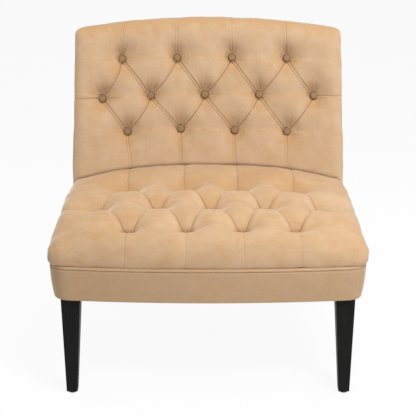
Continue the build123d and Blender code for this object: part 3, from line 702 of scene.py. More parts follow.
# What both pads start from, lengths in metres; each pad's own values follow
padCommon = {
    "slot": (0.0, 0.0), "bow": 0.0, "fan": 1.0, "sideCreases": (), "footLean": (0.0, 0.0, 0.0, 0.0),
    "bowl": 0.0, "bowlWide": 0.039, "crossDeep": 0.0, "crossWide": 0.017, "crossMid": 0.35, "runWide": 0.014,
    "melt": 6,      # the higher, the sharper the ridge where two valleys meet
    "lineEase": 1.5, "lineFade": 0.0, "tucks": ((1.0, 1.0), (2.1, -0.45)),
    "gatherBegin": 0.006, "gatherTurn": 1.2, "gatherFull": 0.3,
    "gatherPlace": (0.25, 0.75), "gatherVary": (0.6, 1.2), "gatherStrong": (0.5, 1.0),
    "crushAndHighlight": 0.0, "highlightOff": 0.013, "highlightWide": 0.007, "highlightMid": 0.4, "highlightBands": (), "bandEnds": 0.25,
    "napUnder": 0.0, "underOff": -0.018, "underWide": (0.013, 0.013), "warmOff": 0.016,
    "shadeOff": 0.022, "shadeWide": (0.015, 0.017), "lineShadePower": 1.4, "mostShade": 0.95,
    "unevenSpan": (0.05, 0.22), "swaySpan": (0.03, 0.12), "brokenSpan": (0.015, 0.06),
    "broken": 0.4, "clothStep": 0.009, "heldRound": 0.6, "pressure": 4.0,
}
seatPad = {
    **padCommon, "seed": 41,
    "bulge": 0.004, "frontRoll": 0.056, "frontHigh": 0.062, "sideRoll": 0.034, "sideHigh": 0.044,
    "lowRoll": 0.0252, "rearTight": 0.55, "tightFrom": (0.1, 0.25), "crown": 0.018, "crownHalf": 0.345,
    "crownRun": 0.22, "rearRise": 0.007, "rearFall": 0.005, "rearFrom": (0.62, 0.38), "cornerDrop": 0.35,
    "cornerRun": (0.03, 0.15), "cornerAside": (0.2, 0.14), "run": 0.4925, "gap": 0.0006,
    "rearRoll": 0.009, "rearSink": 0.009, "rearTuck": 0.014, "tuckLong": 0.045,
    "rearRound": 0.98,      # not quite a full quarter round
    "rows": (0.082, 0.208, 0.343), "tuftLevel": 0.4,
    "columns": ((-0.178, -0.048, 0.077, 0.199), (-0.26, -0.118, 0.006, 0.133, 0.265),
                (-0.188, -0.056, 0.069, 0.2)),
    "slot": (0.003, 0.014), "fan": 1.03, "sideFan": (((0.0, 1.0),), ((0.0, 1.0),)),
    "tuftDeep": 0.034, "tuftFlat": 0.0018, "tuftReach": (0.01, 0.01), "tuftFall": 1.5, "bowl": 0.022,
    "valley": 0.014, "valleyMid": 0.5, "valleyEase": 1.5, "valleyWide": (0.007, 0.017), "valleyPower": 1.2,
    "blend": 1.4, "runMid": 0.1, "runFade": 0.3, "lineDeep": 0.0028, "lineWide": 0.0014, "lineMid": 0.52,
    "lineFade": 0.55, "tuck": 0.0017, "tuckOff": 0.003, "tuckWide": 0.0017,
    "edgeLap": {"low": 0.45, "high": 0.9, "side": 1.2}, "edgeLine": {"low": 0.24, "high": 0.5, "side": 0.85},
    "gathers": (5, 5, 5), "gatherSpread": 2.6, "gatherLong": 0.036, "gatherWide": 0.0022,
    "gatherDeep": 0.001,
    # side of the chair, direction round the front corner, depth
    "creases": ((-1, 0.95, 0.0024), (-1, 0.4, 0.001), (1, 1.05, 0.0012), (1, 0.7, 0.0016)),
    "creaseWide": 0.045, "creaseFrom": (0.6, 0.25), "uneven": 0.0009,
    "napBase": 0.74, "facingLight": 0.16, "napLevel": 0.9, "napSway": 0.07, "crushAndHighlight": 0.3,
    "highlightBands": ((-0.01, 0.006, 0.3), (0.021, 0.005, 0.18)),
    "lineShade": 1.0, "pitShade": 0.9, "pitFrom": 0.48, "gatherShade": 0.05, "shadeAbove": (0.0, 0.03, 0.1),
    "warmShadeRound": (0.1, 0.25, 0.45), "warmWide": 0.03,
    "patches": ((0.31, 0.2, 0.05, -0.55), (-0.25, 0.37, 0.06, 0.3), (-0.2, 0.01, 0.045, 0.25),
                (0.02, 0.3, 0.04, 0.2), (0.13, 0.36, 0.05, 0.25)),
    "contactSide": (0.315, 0.02), "contactGap": (0.001, 0.008), "contactAbove": 0.35,
    "slack": 0.006, "clothCap": 0.005, "heldOver": 0.03, "heldRear": 0.01,
}


def quarterLong(wide, high):      # length of a quarter of an ellipse
    angle = np.linspace(0, math.pi / 2, 200)
    return float(np.sum(np.hypot(np.diff(wide * np.sin(angle)), np.diff(high * np.cos(angle)))))


seatPad["rollIn"] = seatPad["frontRoll"] - seatPad["bulge"]
seatFrontUpper = quarterLong(seatPad["frontRoll"], seatPad["frontHigh"])
seatSideUpper = quarterLong(seatPad["sideRoll"], seatPad["sideHigh"])
seatTuckIn = chair["shoulder"] - seatPad["frontHigh"] - chair["padBottom"]
seatLowLong = seatPad["lowRoll"] * math.asin(seatTuckIn / seatPad["lowRoll"])
seatFrontLong = seatFrontUpper + seatLowLong
seatSideLong = seatSideUpper + seatPad["frontHigh"] - seatPad["sideHigh"] + seatLowLong
seatFlatHalf = chair["seatHalfFront"] + seatPad["bulge"] - seatPad["sideRoll"]


# Splits the run past two flat limits into a distance and a direction, so corners come out round;
# share is 1 where it runs along v alone
def roundCorner(overU, overV):
    far = np.maximum(overU, overV)
    angle = math.pi / 4 * np.minimum(overU, overV) / np.maximum(far, 1e-9)
    wide, narrow = np.cos(angle), np.sin(angle)
    alongU = np.where(overU >= overV, wide, narrow) * (overU > 0)
    alongV = np.where(overU >= overV, narrow, wide) * (overV > 0)
    share = np.where(alongU + alongV > 0, alongV ** 2 / np.maximum(alongU ** 2 + alongV ** 2, 1e-9), 0)
    return far, alongU, alongV, share


def sideRoll(x):      # how far the back's face falls away to its sides
    side = np.clip(chair["backHalf"] - np.abs(x), 0, backPad["sideRoll"])
    return backPad["sideRoll"] - np.sqrt(backPad["sideRoll"] ** 2 - (backPad["sideRoll"] - side) ** 2)


def seatRear(x, z):
    return faceY(x) + sideRoll(x) - seatPad["gap"] + leanBack(z)


def overSeat(u, v):      # past the flat top, as parts of what hangs down at the side and the front
    return np.maximum(np.abs(u) - seatFlatHalf, 0) / seatSideLong, np.maximum(-v, 0) / seatFrontLong


# A crowned top, tight rolls to upright sides, a broad roll to the front, all tucked in above the welt
def seatSurface(u, v):
    far, alongU, alongV, share = roundCorner(*overSeat(u, v))
    wide = seatPad["sideRoll"] * (1 - share) + seatPad["frontRoll"] * share
    high = seatPad["sideHigh"] * (1 - share) + seatPad["frontHigh"] * share
    upper = seatSideUpper * (1 - share) + seatFrontUpper * share
    wall = seatPad["frontHigh"] - high
    passed = far * (upper + wall + seatLowLong)
    angle = math.pi / 2 * np.minimum(passed / upper, 1)
    turn = np.maximum(passed - upper - wall, 0) / seatPad["lowRoll"]
    tight = 1 - seatPad["rearTight"] * ramp(v, *seatPad["tightFrom"])
    out = wide * tight * np.sin(angle) - seatPad["lowRoll"] * (1 - np.cos(turn))
    upright = np.clip((passed - upper) / np.maximum(wall, 1e-6), 0, 1)
    drop = high * tight * (1 - np.cos(angle)) + (wall + high * (1 - tight)) * upright
    drop = drop + seatPad["lowRoll"] * np.sin(turn)
    broad = 1 + seatPad["sideRoll"] * (1 - tight) / seatFlatHalf
    x = np.sign(u) * (np.minimum(np.abs(u), seatFlatHalf) * broad + out * alongU)
    run = np.maximum(v, 0) + seatPad["rollIn"] - out * alongV
    x = x * seatHalf(run) / chair["seatHalfFront"]
    x = x * (1 - seatPad["rearTuck"] * ramp(run, seatPad["run"] - seatPad["tuckLong"], seatPad["tuckLong"]))
    aside = np.minimum(np.abs(x) / seatPad["crownHalf"], 1) ** 3
    toRear = ramp(run / seatPad["run"], *seatPad["rearFrom"])
    rise = seatPad["crown"] * smoothStep(run / seatPad["crownRun"]) + seatPad["rearRise"] * toRear
    rise = rise * (1 - aside) - seatPad["rearFall"] * toRear * aside
    corner = (1 - ramp(run, *seatPad["cornerRun"])) * ramp(np.abs(x), *seatPad["cornerAside"])
    high = chair["shoulder"] - chair["padBottom"]
    z = chair["padBottom"] + (high - drop) * (1 - seatPad["cornerDrop"] * corner + rise / high)
    y = frontY(x) + run / seatPad["run"] * (seatRear(x, z) - frontY(x))
    return inFrame(x, y, z)


# The rear edge sinks in, and short creases draw the cloth round the front corners
def seatEdgeWork(u, v):
    toRear = np.clip((v - seatRearEdge + seatPad["rearRoll"]) / seatPad["rearRoll"], 0, 1)
    drawn = seatPad["rearSink"] * (1 - np.sqrt(1 - seatPad["rearRound"] * toRear ** 2))
    overU, overV = overSeat(u, v)
    low = ramp(np.maximum(overU, overV), *seatPad["creaseFrom"])
    turn = np.arctan2(overV, np.maximum(overU, 1e-9))
    for side, at, deep in seatPad["creases"]:
        crease = np.exp(-((turn - at) / seatPad["creaseWide"]) ** 2)
        drawn = drawn + deep * low * crease * (np.sign(u) == side)
    return drawn


backPad = {
    **padCommon, "seed": 23,
    "sideRoll": 0.032, "topRoll": 0.042, "arch": 2.55, "archFrom": 0.6, "rearDrop": 0.014, "bottom": 0.3165,
    "raise": 0.0045, "corner": 0.6, "taper": 0.06, "taperFrom": 0.455, "rows": (0.507, 0.593, 0.685),
    "columns": ((-0.2035, -0.069, 0.068, 0.2), (-0.267, -0.145, -0.008, 0.131, 0.268),
                (-0.2185, -0.0785, 0.0615, 0.2015)),
    "lift": ((-0.0025, 0.002, -0.0025, -0.0025), (-0.0037, 0.0, 0.001, 0.0022, 0.0037),
             (0.0037, 0.0, 0.0, 0.0045)),
    "bow": 0.0085, "sideFan": (((0.0, 1.0), (0.016, 0.7), (-0.006, 0.5)), ((0.0, 1.0),)),
    "sideCreases": ((0.035, 1.2, 0.5), (0.075, 2.0, 0.8), (0.045, 1.4, 0.6)),
    "footLean": (0.017, 0.004, 0.007, 0.007),
    "tuftDeep": 0.023, "tuftFlat": 0.007, "tuftReach": (0.019, 0.029), "tuftFall": 1.25,
    "valley": 0.0075, "valleyMid": 0.42, "valleyEase": 1.6, "valleyWide": (0.015, 0.017), "valleyPower": 1.3,
    "blend": 3.0, "runMid": 0.2, "runFade": 0.7, "lineDeep": 0.0026, "lineWide": 0.0009, "lineMid": 0.8,
    "tuck": 0.002, "tuckOff": 0.0036, "tuckWide": 0.0019, "crossDeep": 0.006,
    "edgeLap": {"low": 0.6, "high": 0.6, "side": 0.6}, "edgeLine": {"low": 0.75, "high": 0.5, "side": 0.7},
    "gathers": (3, 5, 3), "gatherSpread": 0.55, "gatherLong": 0.048, "gatherWide": 0.0017,
    "gatherDeep": 0.0034, "uneven": 0.0007,
    "napBase": 0.42, "facingLight": 0.9, "napLevel": 0.24, "napSway": 0.09, "napUnder": 0.6,
    "lineShade": 0.8, "pitShade": 0.35, "pitFrom": 0.9, "gatherShade": 0.3, "shadeAbove": (0.18, 0.19, 0.25),
    "warmShadeRound": (0.4, 0.55, 0.6), "warmWide": 0.026,
    "patches": ((-0.26, 0.66, 0.05, 0.2), (-0.2, 0.76, 0.06, 0.15), (0.1, 0.64, 0.05, 0.15)),
    "contactFace": (0.004, 0.012), "contactTop": (-0.003, 0.01), "contactReach": 0.8, "contactSteps": 240,
    "slack": 0.005, "clothCap": 0.004, "heldFoot": 0.01,
}
backFlatHalf = chair["backHalf"] - backPad["sideRoll"]
backFlatTop = chair["crest"] - backPad["topRoll"]
backSideLong = backPad["sideRoll"] * (math.pi / 2 - 1) + chair["rearDepth"]
backTopLong = backPad["topRoll"] * (math.pi / 2 - 1) + chair["rearDepth"]


def backArch(x):      # the crest is lower at the sides
    return np.sqrt(backPad["arch"] ** 2 - x ** 2) - backPad["arch"]


def backSurface(u, v):
    overU = np.maximum(np.abs(u) - backFlatHalf, 0) / backSideLong
    overV = np.maximum(v - backFlatTop, 0) / backTopLong
    far, alongU, alongV, share = roundCorner(overU, overV)
    radius = backPad["sideRoll"] * (1 - share) + backPad["topRoll"] * share
    run = far * (backSideLong * (1 - share) + backTopLong * share)
    angle = np.minimum(run / radius, math.pi / 2)
    out = radius * np.sin(angle)
    depth = radius * (1 - np.cos(angle)) + np.maximum(run - radius * math.pi / 2, 0)
    x = np.sign(u) * (np.minimum(np.abs(u), backFlatHalf) + out * alongU ** backPad["corner"])
    z = np.minimum(v, backFlatTop) + out * alongV ** backPad["corner"]
    archHigh = chair["crest"] - backPad["archFrom"]
    z = z + backPad["raise"] * ramp(z, backPad["archFrom"], archHigh)
    x = x * (1 - backPad["taper"] * (np.maximum(z, backPad["taperFrom"]) - backPad["archFrom"]))
    z = z + backArch(x) * np.clip((z - backPad["archFrom"]) / archHigh, 0, 1)
    z = z - backPad["rearDrop"] * depth / chair["rearDepth"] * share
    y = faceY(x) + depth + leanBack(z)
    return inFrame(x, y, z)


seatRearEdge = seatPad["run"] - seatPad["rollIn"]


# Where the cloth run holds the covers besides the tufts
def seatHeld(u, v):
    aside = np.abs(u) > seatFlatHalf + seatPad["heldOver"]
    return aside | (v < -seatPad["heldOver"]) | (v > seatRearEdge - seatPad["heldRear"])


def backHeld(u, v):
    return (np.abs(u) > backFlatHalf) | (v > backFlatTop) | (v < backPad["bottom"] + backPad["heldFoot"])


# Painted shade where the seat and the back press on each other
def seatContactShade(points):
    x, y, z = points.T
    gap = seatRear(x, z) - chair["middle"] - y
    inside = 1 - ramp(np.abs(x), *seatPad["contactSide"])
    return inside * (1 - ramp(gap, *seatPad["contactGap"])) * (z > seatPad["contactAbove"])


def backContactShade(points):
    x, y, z = points.T
    reach = seatFlatHalf + backPad["contactReach"] * seatSideLong
    u = np.linspace(0, reach, backPad["contactSteps"])      # across, along the seat's rear edge
    edge = seatSurface(u, np.full_like(u, seatRearEdge))
    top = np.interp(np.abs(x), edge[:, 0], edge[:, 2])
    byBackFace = 1 - ramp(y + chair["middle"] - faceY(x) - leanBack(z), *backPad["contactFace"])
    return byBackFace * (1 - ramp(z - top, *backPad["contactTop"]))


seatPad.update(edgeWork=seatEdgeWork, held=seatHeld, contact=seatContactShade)
backPad.update(held=backHeld, contact=backContactShade)


def seatTufts():
    rows = []
    for y, columns in zip(seatPad["rows"], seatPad["columns"]):
        row = []
        for x in columns:
            front, rear = float(frontY(x)), float(seatRear(np.array(x), seatPad["tuftLevel"]))
            run = (y - front) / (rear - front) * seatPad["run"]
            row.append((x * chair["seatHalfFront"] / float(seatHalf(run)), run - seatPad["rollIn"]))
        rows.append(row)
    return rows


seatRows = seatTufts()
backRows = [[(x, z + lift) for x, lift in zip(columns, lifts)]
            for z, columns, lifts in zip(backPad["rows"], backPad["columns"], backPad["lift"])]
seat = makePad("tuftedSeat", seatSurface, seatRows, seatPad,
               (seatFlatHalf + seatSideLong, -seatFrontLong, seatRearEdge))
back = makePad("tuftedBack", backSurface, backRows, backPad,
               (backFlatHalf + backSideLong, backPad["bottom"], backFlatTop + backTopLong))


# Drops the seat's rear edge to the deck or takes the back's foot to the rear, then closes the hidden side
def closePad(obj, isEdge, place):
    work = bmesh.new()
    work.from_mesh(obj.data)
    edges = [e for e in work.edges if e.is_boundary and all(isEdge(v.co) for v in e.verts)]
    for item in bmesh.ops.extrude_edge_only(work, edges=edges)["geom"]:
        if isinstance(item, bmesh.types.BMVert):
            item.co = place(item.co)
    bmesh.ops.remove_doubles(work, verts=work.verts, dist=1e-6)
    bmesh.ops.holes_fill(work, edges=[e for e in work.edges if e.is_boundary], sides=0)
    work.to_mesh(obj.data)
    work.free()
    obj.data.update()


edgeReach = {"seatRear": 0.012, "seatLow": 0.001, "backFoot": 0.004}


def onSeatRear(co):
    rear = float(seatRear(np.array(co.x), co.z)) - edgeReach["seatRear"]
    return co.y + chair["middle"] > rear and co.z > chair["padBottom"] + edgeReach["seatLow"]


def onBackFoot(co):
    return co.z < backPad["bottom"] + edgeReach["backFoot"]


def toDeck(co):
    return Vector((co.x, co.y, chair["padBottom"]))


def toRear(co):
    return Vector((co.x, float(faceY(co.x)) + chair["rearDepth"] + leanBack(co.z) - chair["middle"], co.z))


closePad(seat, onSeatRear, toDeck)
closePad(back, onBackFoot, toRear)
for pad in (seat, back):
    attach(pad, "root")
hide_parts("seat_cover", "seat_foam")
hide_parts("back_cover", "back_foam")
print("pads made,", len(seat.data.polygons), "and", len(back.data.polygons), "faces")


# covered buttons, set into the back's tufts; rings as reach, height and shade
buttonLook = {
    "radius": 0.0114, "high": 0.0064, "sides": 30, "sink": 0.0006, "gather": 0.018, "folds": 10, "turn": 0.6,
    "rings": ((0.36, 0.99, 0.0), (0.62, 0.96, 0.1), (0.76, 0.9, 0.4), (0.86, 0.78, 0.78), (0.96, 0.56, 0.92),
              (1.0, 0.34, 0.95), (0.97, 0.12, 0.95), (0.86, 0.0, 0.95)),
    "spread": {"Size": 1.0, "Uneven": 0.03, "Seed": 5},
}


def makeButtonShape():
    rings, sides = buttonLook["rings"], buttonLook["sides"]
    points, shades = [(0, 0, buttonLook["high"])], [0.0]
    for number, (reach, high, shade) in enumerate(rings):
        gather = buttonLook["gather"] * (number / (len(rings) + 1)) ** 2
        for k in range(sides):
            angle = 2 * math.pi * k / sides
            pinch = 1 - gather * (1 + math.cos(buttonLook["folds"] * angle + buttonLook["turn"]))
            r = buttonLook["radius"] * reach * pinch
            points.append((r * math.cos(angle), r * math.sin(angle), buttonLook["high"] * high))
        shades += [shade] * sides
    faces = [(0, 1 + k, 1 + (k + 1) % sides) for k in range(sides)]
    for ring in range(len(rings) - 1):
        a, b = 1 + ring * sides, 1 + (ring + 1) * sides
        faces += [(a + k, b + k, b + (k + 1) % sides, a + (k + 1) % sides) for k in range(sides)]
    last = 1 + (len(rings) - 1) * sides
    faces.append(tuple(last + k for k in reversed(range(sides))))
    obj = addMesh("buttonShape", points, faces)
    # painted shade round the rim, for the button's shadowed side wall and its contact
    addValues(obj, "fold", shades)
    return obj


# Geometry Nodes: one shape on every point, its Z along the point's own facing
def makeSetTree(name, shape, material):
    tree = bpy.data.node_groups.new(name, "GeometryNodeTree")
    for way in ("INPUT", "OUTPUT"):
        tree.interface.new_socket("Geometry", in_out=way, socket_type="NodeSocketGeometry")
    for label, kind, value in (("Size", "Float", 1.0), ("Uneven", "Float", 0.0), ("Seed", "Int", 0)):
        made = tree.interface.new_socket(label, in_out="INPUT", socket_type="NodeSocket" + kind)
        made.default_value = value
    given, made = addNode(tree, "NodeGroupInput").outputs, addNode(tree, "NodeGroupOutput").inputs
    turned = None
    for label, axis, pivot in (("along", "X", "AUTO"), ("facing", "Z", "X")):
        named = addNode(tree, "GeometryNodeInputNamedAttribute", {"Name": label}, data_type="FLOAT_VECTOR")
        inputs = {"Vector": named.outputs["Attribute"]}
        if turned:
            inputs["Rotation"] = turned.outputs[0]
        turned = addNode(tree, "FunctionNodeAlignRotationToVector", inputs, axis=axis, pivot_axis=pivot)
    size = addNode(tree, "FunctionNodeRandomValue", {"Seed": given["Seed"]}, data_type="FLOAT")
    for label, operation in (("Min", "SUBTRACT"), ("Max", "ADD")):
        limit = [s for s in size.inputs if s.name == label and s.type == "VALUE"][0]
        feed(tree, limit, doMath(tree, operation, given["Size"], given["Uneven"]))
    picked = [s for s in size.outputs if s.type == "VALUE"][0]
    source = addNode(tree, "GeometryNodeObjectInfo", {"Object": shape})
    spread = addNode(tree, "GeometryNodeInstanceOnPoints", {
        "Points": given["Geometry"], "Instance": source.outputs["Geometry"], "Rotation": turned.outputs[0],
        "Scale": picked})
    real = addNode(tree, "GeometryNodeRealizeInstances", {"Geometry": spread.outputs[0]})
    dressed = addNode(tree, "GeometryNodeSetMaterial", {"Geometry": real.outputs[0], "Material": material})
    feed(tree, made["Geometry"], dressed.outputs[0])
    return tree


def spreadShape(name, shape, material, points, facing, along, values):
    obj = addMesh(name, points, [])
    for label, vectors in (("facing", facing), ("along", along)):
        layer = obj.data.attributes.new(label, "FLOAT_VECTOR", "POINT")
        layer.data.foreach_set("vector", np.ascontiguousarray(vectors, dtype=np.float32).ravel())
    tree = makeSetTree(name + "Tree", shape, material)
    modifier = obj.modifiers.new("spread", "NODES")
    modifier.node_group = tree
    for item in tree.interface.items_tree:
        if item.in_out == "INPUT" and item.name in values:
            modifier[item.identifier] = values[item.name]
    settle(obj)
    obj.data.polygons.foreach_set("use_smooth", [True] * len(obj.data.polygons))
    obj.data.materials.clear()
    obj.data.materials.append(material)
    removeObject(shape)
    return obj


tuftU, tuftV = np.array([p for row in backRows for p in row]).T
tuftNormals = surfaceNormals(backSurface, tuftU, tuftV)
tuftSeats = backSurface(tuftU, tuftV) - tuftNormals * (backPad["tuftDeep"] + buttonLook["sink"])
sideways = np.repeat([[1.0, 0.0, 0.0]], len(tuftU), 0)
buttons = spreadShape("coveredButtons", makeButtonShape(), buttonVelvet, tuftSeats, tuftNormals, sideways,
                      buttonLook["spread"])
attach(buttons, "root")
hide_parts("back_buttons")
print("buttons set,", len(tuftU))


# welt, apron, outside back and dust cover
outlineSteps = {"settle": 30, "front": 60, "corner": 24}


def frontTilt(x):      # slope of the bowed front
    return x / math.sqrt(chair["bowRadius"] ** 2 - x ** 2)


# Outline of the seat drawn in by inset, rear left round the front to rear right, with outward directions
def planOutline(inset, rear, count):
    front, rearHalf = chair["seatHalfFront"] - inset, chair["seatHalfRear"] - inset
    radius = chair["cornerRadius"] - inset
    frontAt = float(frontY(front)) + inset
    rearAt = float(faceY(rearHalf)) + rear
    slope = (rearHalf - front) / (rearAt - frontAt)
    cx = front - radius
    for _ in range(outlineSteps["settle"]):
        cy = float(frontY(cx)) + inset + radius * math.hypot(1, frontTilt(cx))
        cx = front + slope * (cy - frontAt) - radius * math.hypot(1, slope)
    begin = math.atan2(-1, frontTilt(cx))
    end = math.atan2(-slope, 1)
    meet = cx + radius * math.cos(begin)
    right = [(x, float(frontY(x)) + inset) for x in np.linspace(0, meet, outlineSteps["front"])[:-1]]
    for angle in np.linspace(begin, end, outlineSteps["corner"]):
        right.append((cx + radius * math.cos(angle), cy + radius * math.sin(angle)))
    right.append((rearHalf, rearAt))
    path = np.array([(-x, y) for x, y in reversed(right[1:])] + right)
    steps = np.concatenate([[0], np.cumsum(np.linalg.norm(np.diff(path, axis=0), axis=1))])
    at = np.linspace(0, steps[-1], count)
    path = np.stack([np.interp(at, steps, line) for line in path.T], -1)
    along = np.gradient(path, axis=0)
    along /= np.linalg.norm(along, axis=1, keepdims=True)
    return path, np.stack([along[:, 1], -along[:, 0]], -1), at


def addStrip(name, rows, close=False):
    n, m = len(rows), len(rows[0])
    points = np.concatenate(rows)
    faces = []
    for i in range(n if close else n - 1):
        a, b = i * m, ((i + 1) % n) * m
        faces += [(a + k, a + k + 1, b + k + 1, b + k) for k in range(m - 1)]
    if close:
        faces.append(tuple(i * m for i in range(n)))
        faces.append(tuple(i * m + m - 1 for i in reversed(range(n))))
    return addMesh(name, points, faces)


weltLook = {
    "radius": 0.0043, "inset": 0.003, "sides": 14, "count": 640, "rearGap": 0.004,
    "pucker": 0.00028, "puckerLong": 0.0125, "puckerTwist": 1.5, "puckerSwing": 0.4, "puckerVary": 31,
}


def makeWelt():
    rear = chair["rearDepth"] - weltLook["rearGap"]
    path, out, at = planOutline(weltLook["inset"], rear, weltLook["count"])
    swing = weltLook["puckerSwing"] * np.sin(at * weltLook["puckerVary"])
    pucker = weltLook["pucker"] * (1 - weltLook["puckerSwing"] + swing)
    rows = []
    for k in range(weltLook["sides"]):
        angle = -2 * math.pi * k / weltLook["sides"]
        turn = at / weltLook["puckerLong"] * 2 * math.pi + weltLook["puckerTwist"] * angle
        r = weltLook["radius"] + pucker * np.sin(turn)
        xy = path + out * (r * math.cos(angle))[:, None]
        rows.append(inFrame(xy[:, 0], xy[:, 1], chair["weltHeight"] + r * math.sin(angle)))
    return addStrip("weltPiping", rows, close=True)


welt = makeWelt()
welt.data.materials.append(weltVelvet)
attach(welt, "root")
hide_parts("welt")

apronLook = {
    "count": 420, "edge": 0.003, "under": 0.0045, "bulge": 0.0016, "thick": 0.0016, "topLift": 0.0012,
    "faceSteps": 15, "edgeSteps": 6,
    "turnUnder": ((0.0002, 0.6), (0.0012, 1.0)), "ripple": 0.0006, "waves": ((19, 0.0, 1.0), (47, 1.3, 0.6)),
}


def makeApron():
    top, bottom, edge = chair["apronTop"] + apronLook["topLift"], chair["apronBottom"], apronLook["edge"]
    taper = chair["apronTaper"]
    profile = []      # height and inset
    for t in np.linspace(0, 1, apronLook["faceSteps"]):
        inset = taper * t - apronLook["bulge"] * math.sin(math.pi * t)
        profile.append((top + (bottom + edge - top) * t, inset))
    for angle in np.linspace(0, math.pi / 2, apronLook["edgeSteps"])[1:]:
        profile.append((bottom + edge - edge * math.sin(angle), taper + edge * (1 - math.cos(angle))))
    for rise, share in apronLook["turnUnder"]:
        profile.append((bottom + rise, taper + apronLook["under"] * share))
    path, out, at = planOutline(0.0, chair["rearDepth"], apronLook["count"])
    wave = sum(share * np.sin(at * turns + phase) for turns, phase, share in apronLook["waves"])
    rows = []
    for z, inset in profile:
        mid = math.sin(math.pi * min(1.0, max(0.0, (z - bottom) / (top - bottom))))
        xy = path - out * (inset - apronLook["ripple"] * mid * wave)[:, None]
        rows.append(inFrame(xy[:, 0], xy[:, 1], z))
    return thicken(addStrip("apronBand", rows), apronLook["thick"]), float(at[-1])


apron, apronLong = makeApron()
apron.data.materials.append(bandVelvet)
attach(apron, "root")
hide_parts("apron_cover")

panelLook = {
    "crown": 0.0025, "crownRun": 0.12, "tuck": 0.006, "tuckRun": 0.01, "columns": 72, "rows": 84,
    "bunch": 0.86, "thick": 0.0018, "topDrop": 0.015, "inset": 0.001, "corner": 0.04, "cornerDrop": 0.8,
}


def makeOutside():
    half, low, corner = chair["seatHalfRear"], chair["apronBottom"], panelLook["corner"]
    bunch = math.pi / 2 * panelLook["bunch"]      # columns lie closer together at the sides
    xs = np.sin(np.linspace(-1, 1, panelLook["columns"]) * bunch) / math.sin(bunch) * half
    aside = half - np.abs(xs)
    cut = corner - np.sqrt(corner ** 2 - np.clip(corner - aside, 0, corner) ** 2)
    top = chair["crest"] - panelLook["topDrop"] + backArch(xs) - cut * panelLook["cornerDrop"]
    rows = []
    for t in np.linspace(0, 1, panelLook["rows"]):
        z = low + (top - low) * t
        edge = np.minimum(np.minimum(aside, top - z), z - low)
        tuck = panelLook["tuck"] * np.clip(1 - edge / panelLook["tuckRun"], 0, 1) ** 2
        crown = panelLook["crown"] * smoothStep(edge / panelLook["crownRun"])
        y = faceY(xs) + chair["backDepth"] - panelLook["inset"] + leanBack(np.maximum(z, chair["padBottom"]))
        rows.append(inFrame(xs, y - tuck + crown, z))
    return thicken(addStrip("outsideBack", rows[::-1]), panelLook["thick"])


outside = makeOutside()
outside.data.materials.append(panelVelvet)
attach(outside, "root")
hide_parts("outside_cover")

dustLook = {
    "step": 0.02, "cutHalf": 0.34, "sag": 0.0035, "wrinkle": 0.0005, "wrinkleSpan": (0.06, 0.2), "seed": 61,
    "middle": -0.0505, "halfWide": 0.3393, "halfDeep": 0.2787, "area": 0.348,
}


# The dust sheet keeps the outline of its CAD node, with the holes for the legs, and sags a little
def makeDust():
    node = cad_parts["dust_cover"]
    step, half = dustLook["step"], dustLook["cutHalf"]
    work = bmesh.new()
    work.from_mesh(node.data)
    bmesh.ops.transform(work, matrix=node.matrix_world, verts=work.verts)
    for normal in (Vector((1, 0, 0)), Vector((0, 1, 0))):
        for at in np.arange(-half + step, half, step):
            everything = work.verts[:] + work.edges[:] + work.faces[:]
            place = normal * float(at)
            bmesh.ops.bisect_plane(work, geom=everything, dist=1e-6, plane_co=place, plane_no=normal)
    bmesh.ops.remove_doubles(work, verts=work.verts, dist=1e-6)
    points = np.array([v.co for v in work.verts])
    work.verts.index_update()
    faces = [[v.index for v in face.verts] for face in work.faces]
    work.free()
    x, y = points[:, 0], points[:, 1]
    inner = np.clip(1 - (x / dustLook["halfWide"]) ** 2, 0, 1)
    inner = inner * np.clip(1 - ((y - dustLook["middle"]) / dustLook["halfDeep"]) ** 2, 0, 1)
    wrinkle = dustLook["wrinkle"] * unevenness(x, y, dustLook["seed"], *dustLook["wrinkleSpan"])
    points[:, 2] -= inner * (dustLook["sag"] + wrinkle)
    return addMesh("dustSheet", points, faces)


stapleLook = {
    "crown": 0.005, "leg": 0.0016, "wire": 0.00042, "sides": 8, "pitch": 0.042, "count": 1200,
    "inset": 0.0215, "rearInset": 0.013, "endGap": 0.01, "rearSpan": (-0.25, 0.26), "high": 0.2349,
    "legs": ((0.3075, -0.2852), (0.3, 0.1613)), "legClear": 0.032,
    "spread": {"Size": 1.0, "Uneven": 0.04, "Seed": 9},
}


def makeStapleShape():
    crown, leg, wire = stapleLook["crown"], stapleLook["leg"], stapleLook["wire"]
    # up the leg and round the bend to the crown
    half = [(crown, -leg), (crown, -0.2 * leg), (0.95 * crown, 0.6 * wire), (0.86 * crown, wire)]
    path = np.array([(-x, z) for x, z in half] + half[::-1])
    along = np.gradient(path, axis=0)
    along /= np.linalg.norm(along, axis=1, keepdims=True)
    rows = []
    for angle in np.linspace(0, 2 * math.pi, stapleLook["sides"], endpoint=False):
        up, aside = wire * math.cos(angle), np.full(len(path), wire * math.sin(angle))
        rows.append(np.column_stack([path[:, 0] - along[:, 1] * up, aside, path[:, 1] + along[:, 0] * up]))
    return addStrip("stapleShape", rows[::-1], close=True)


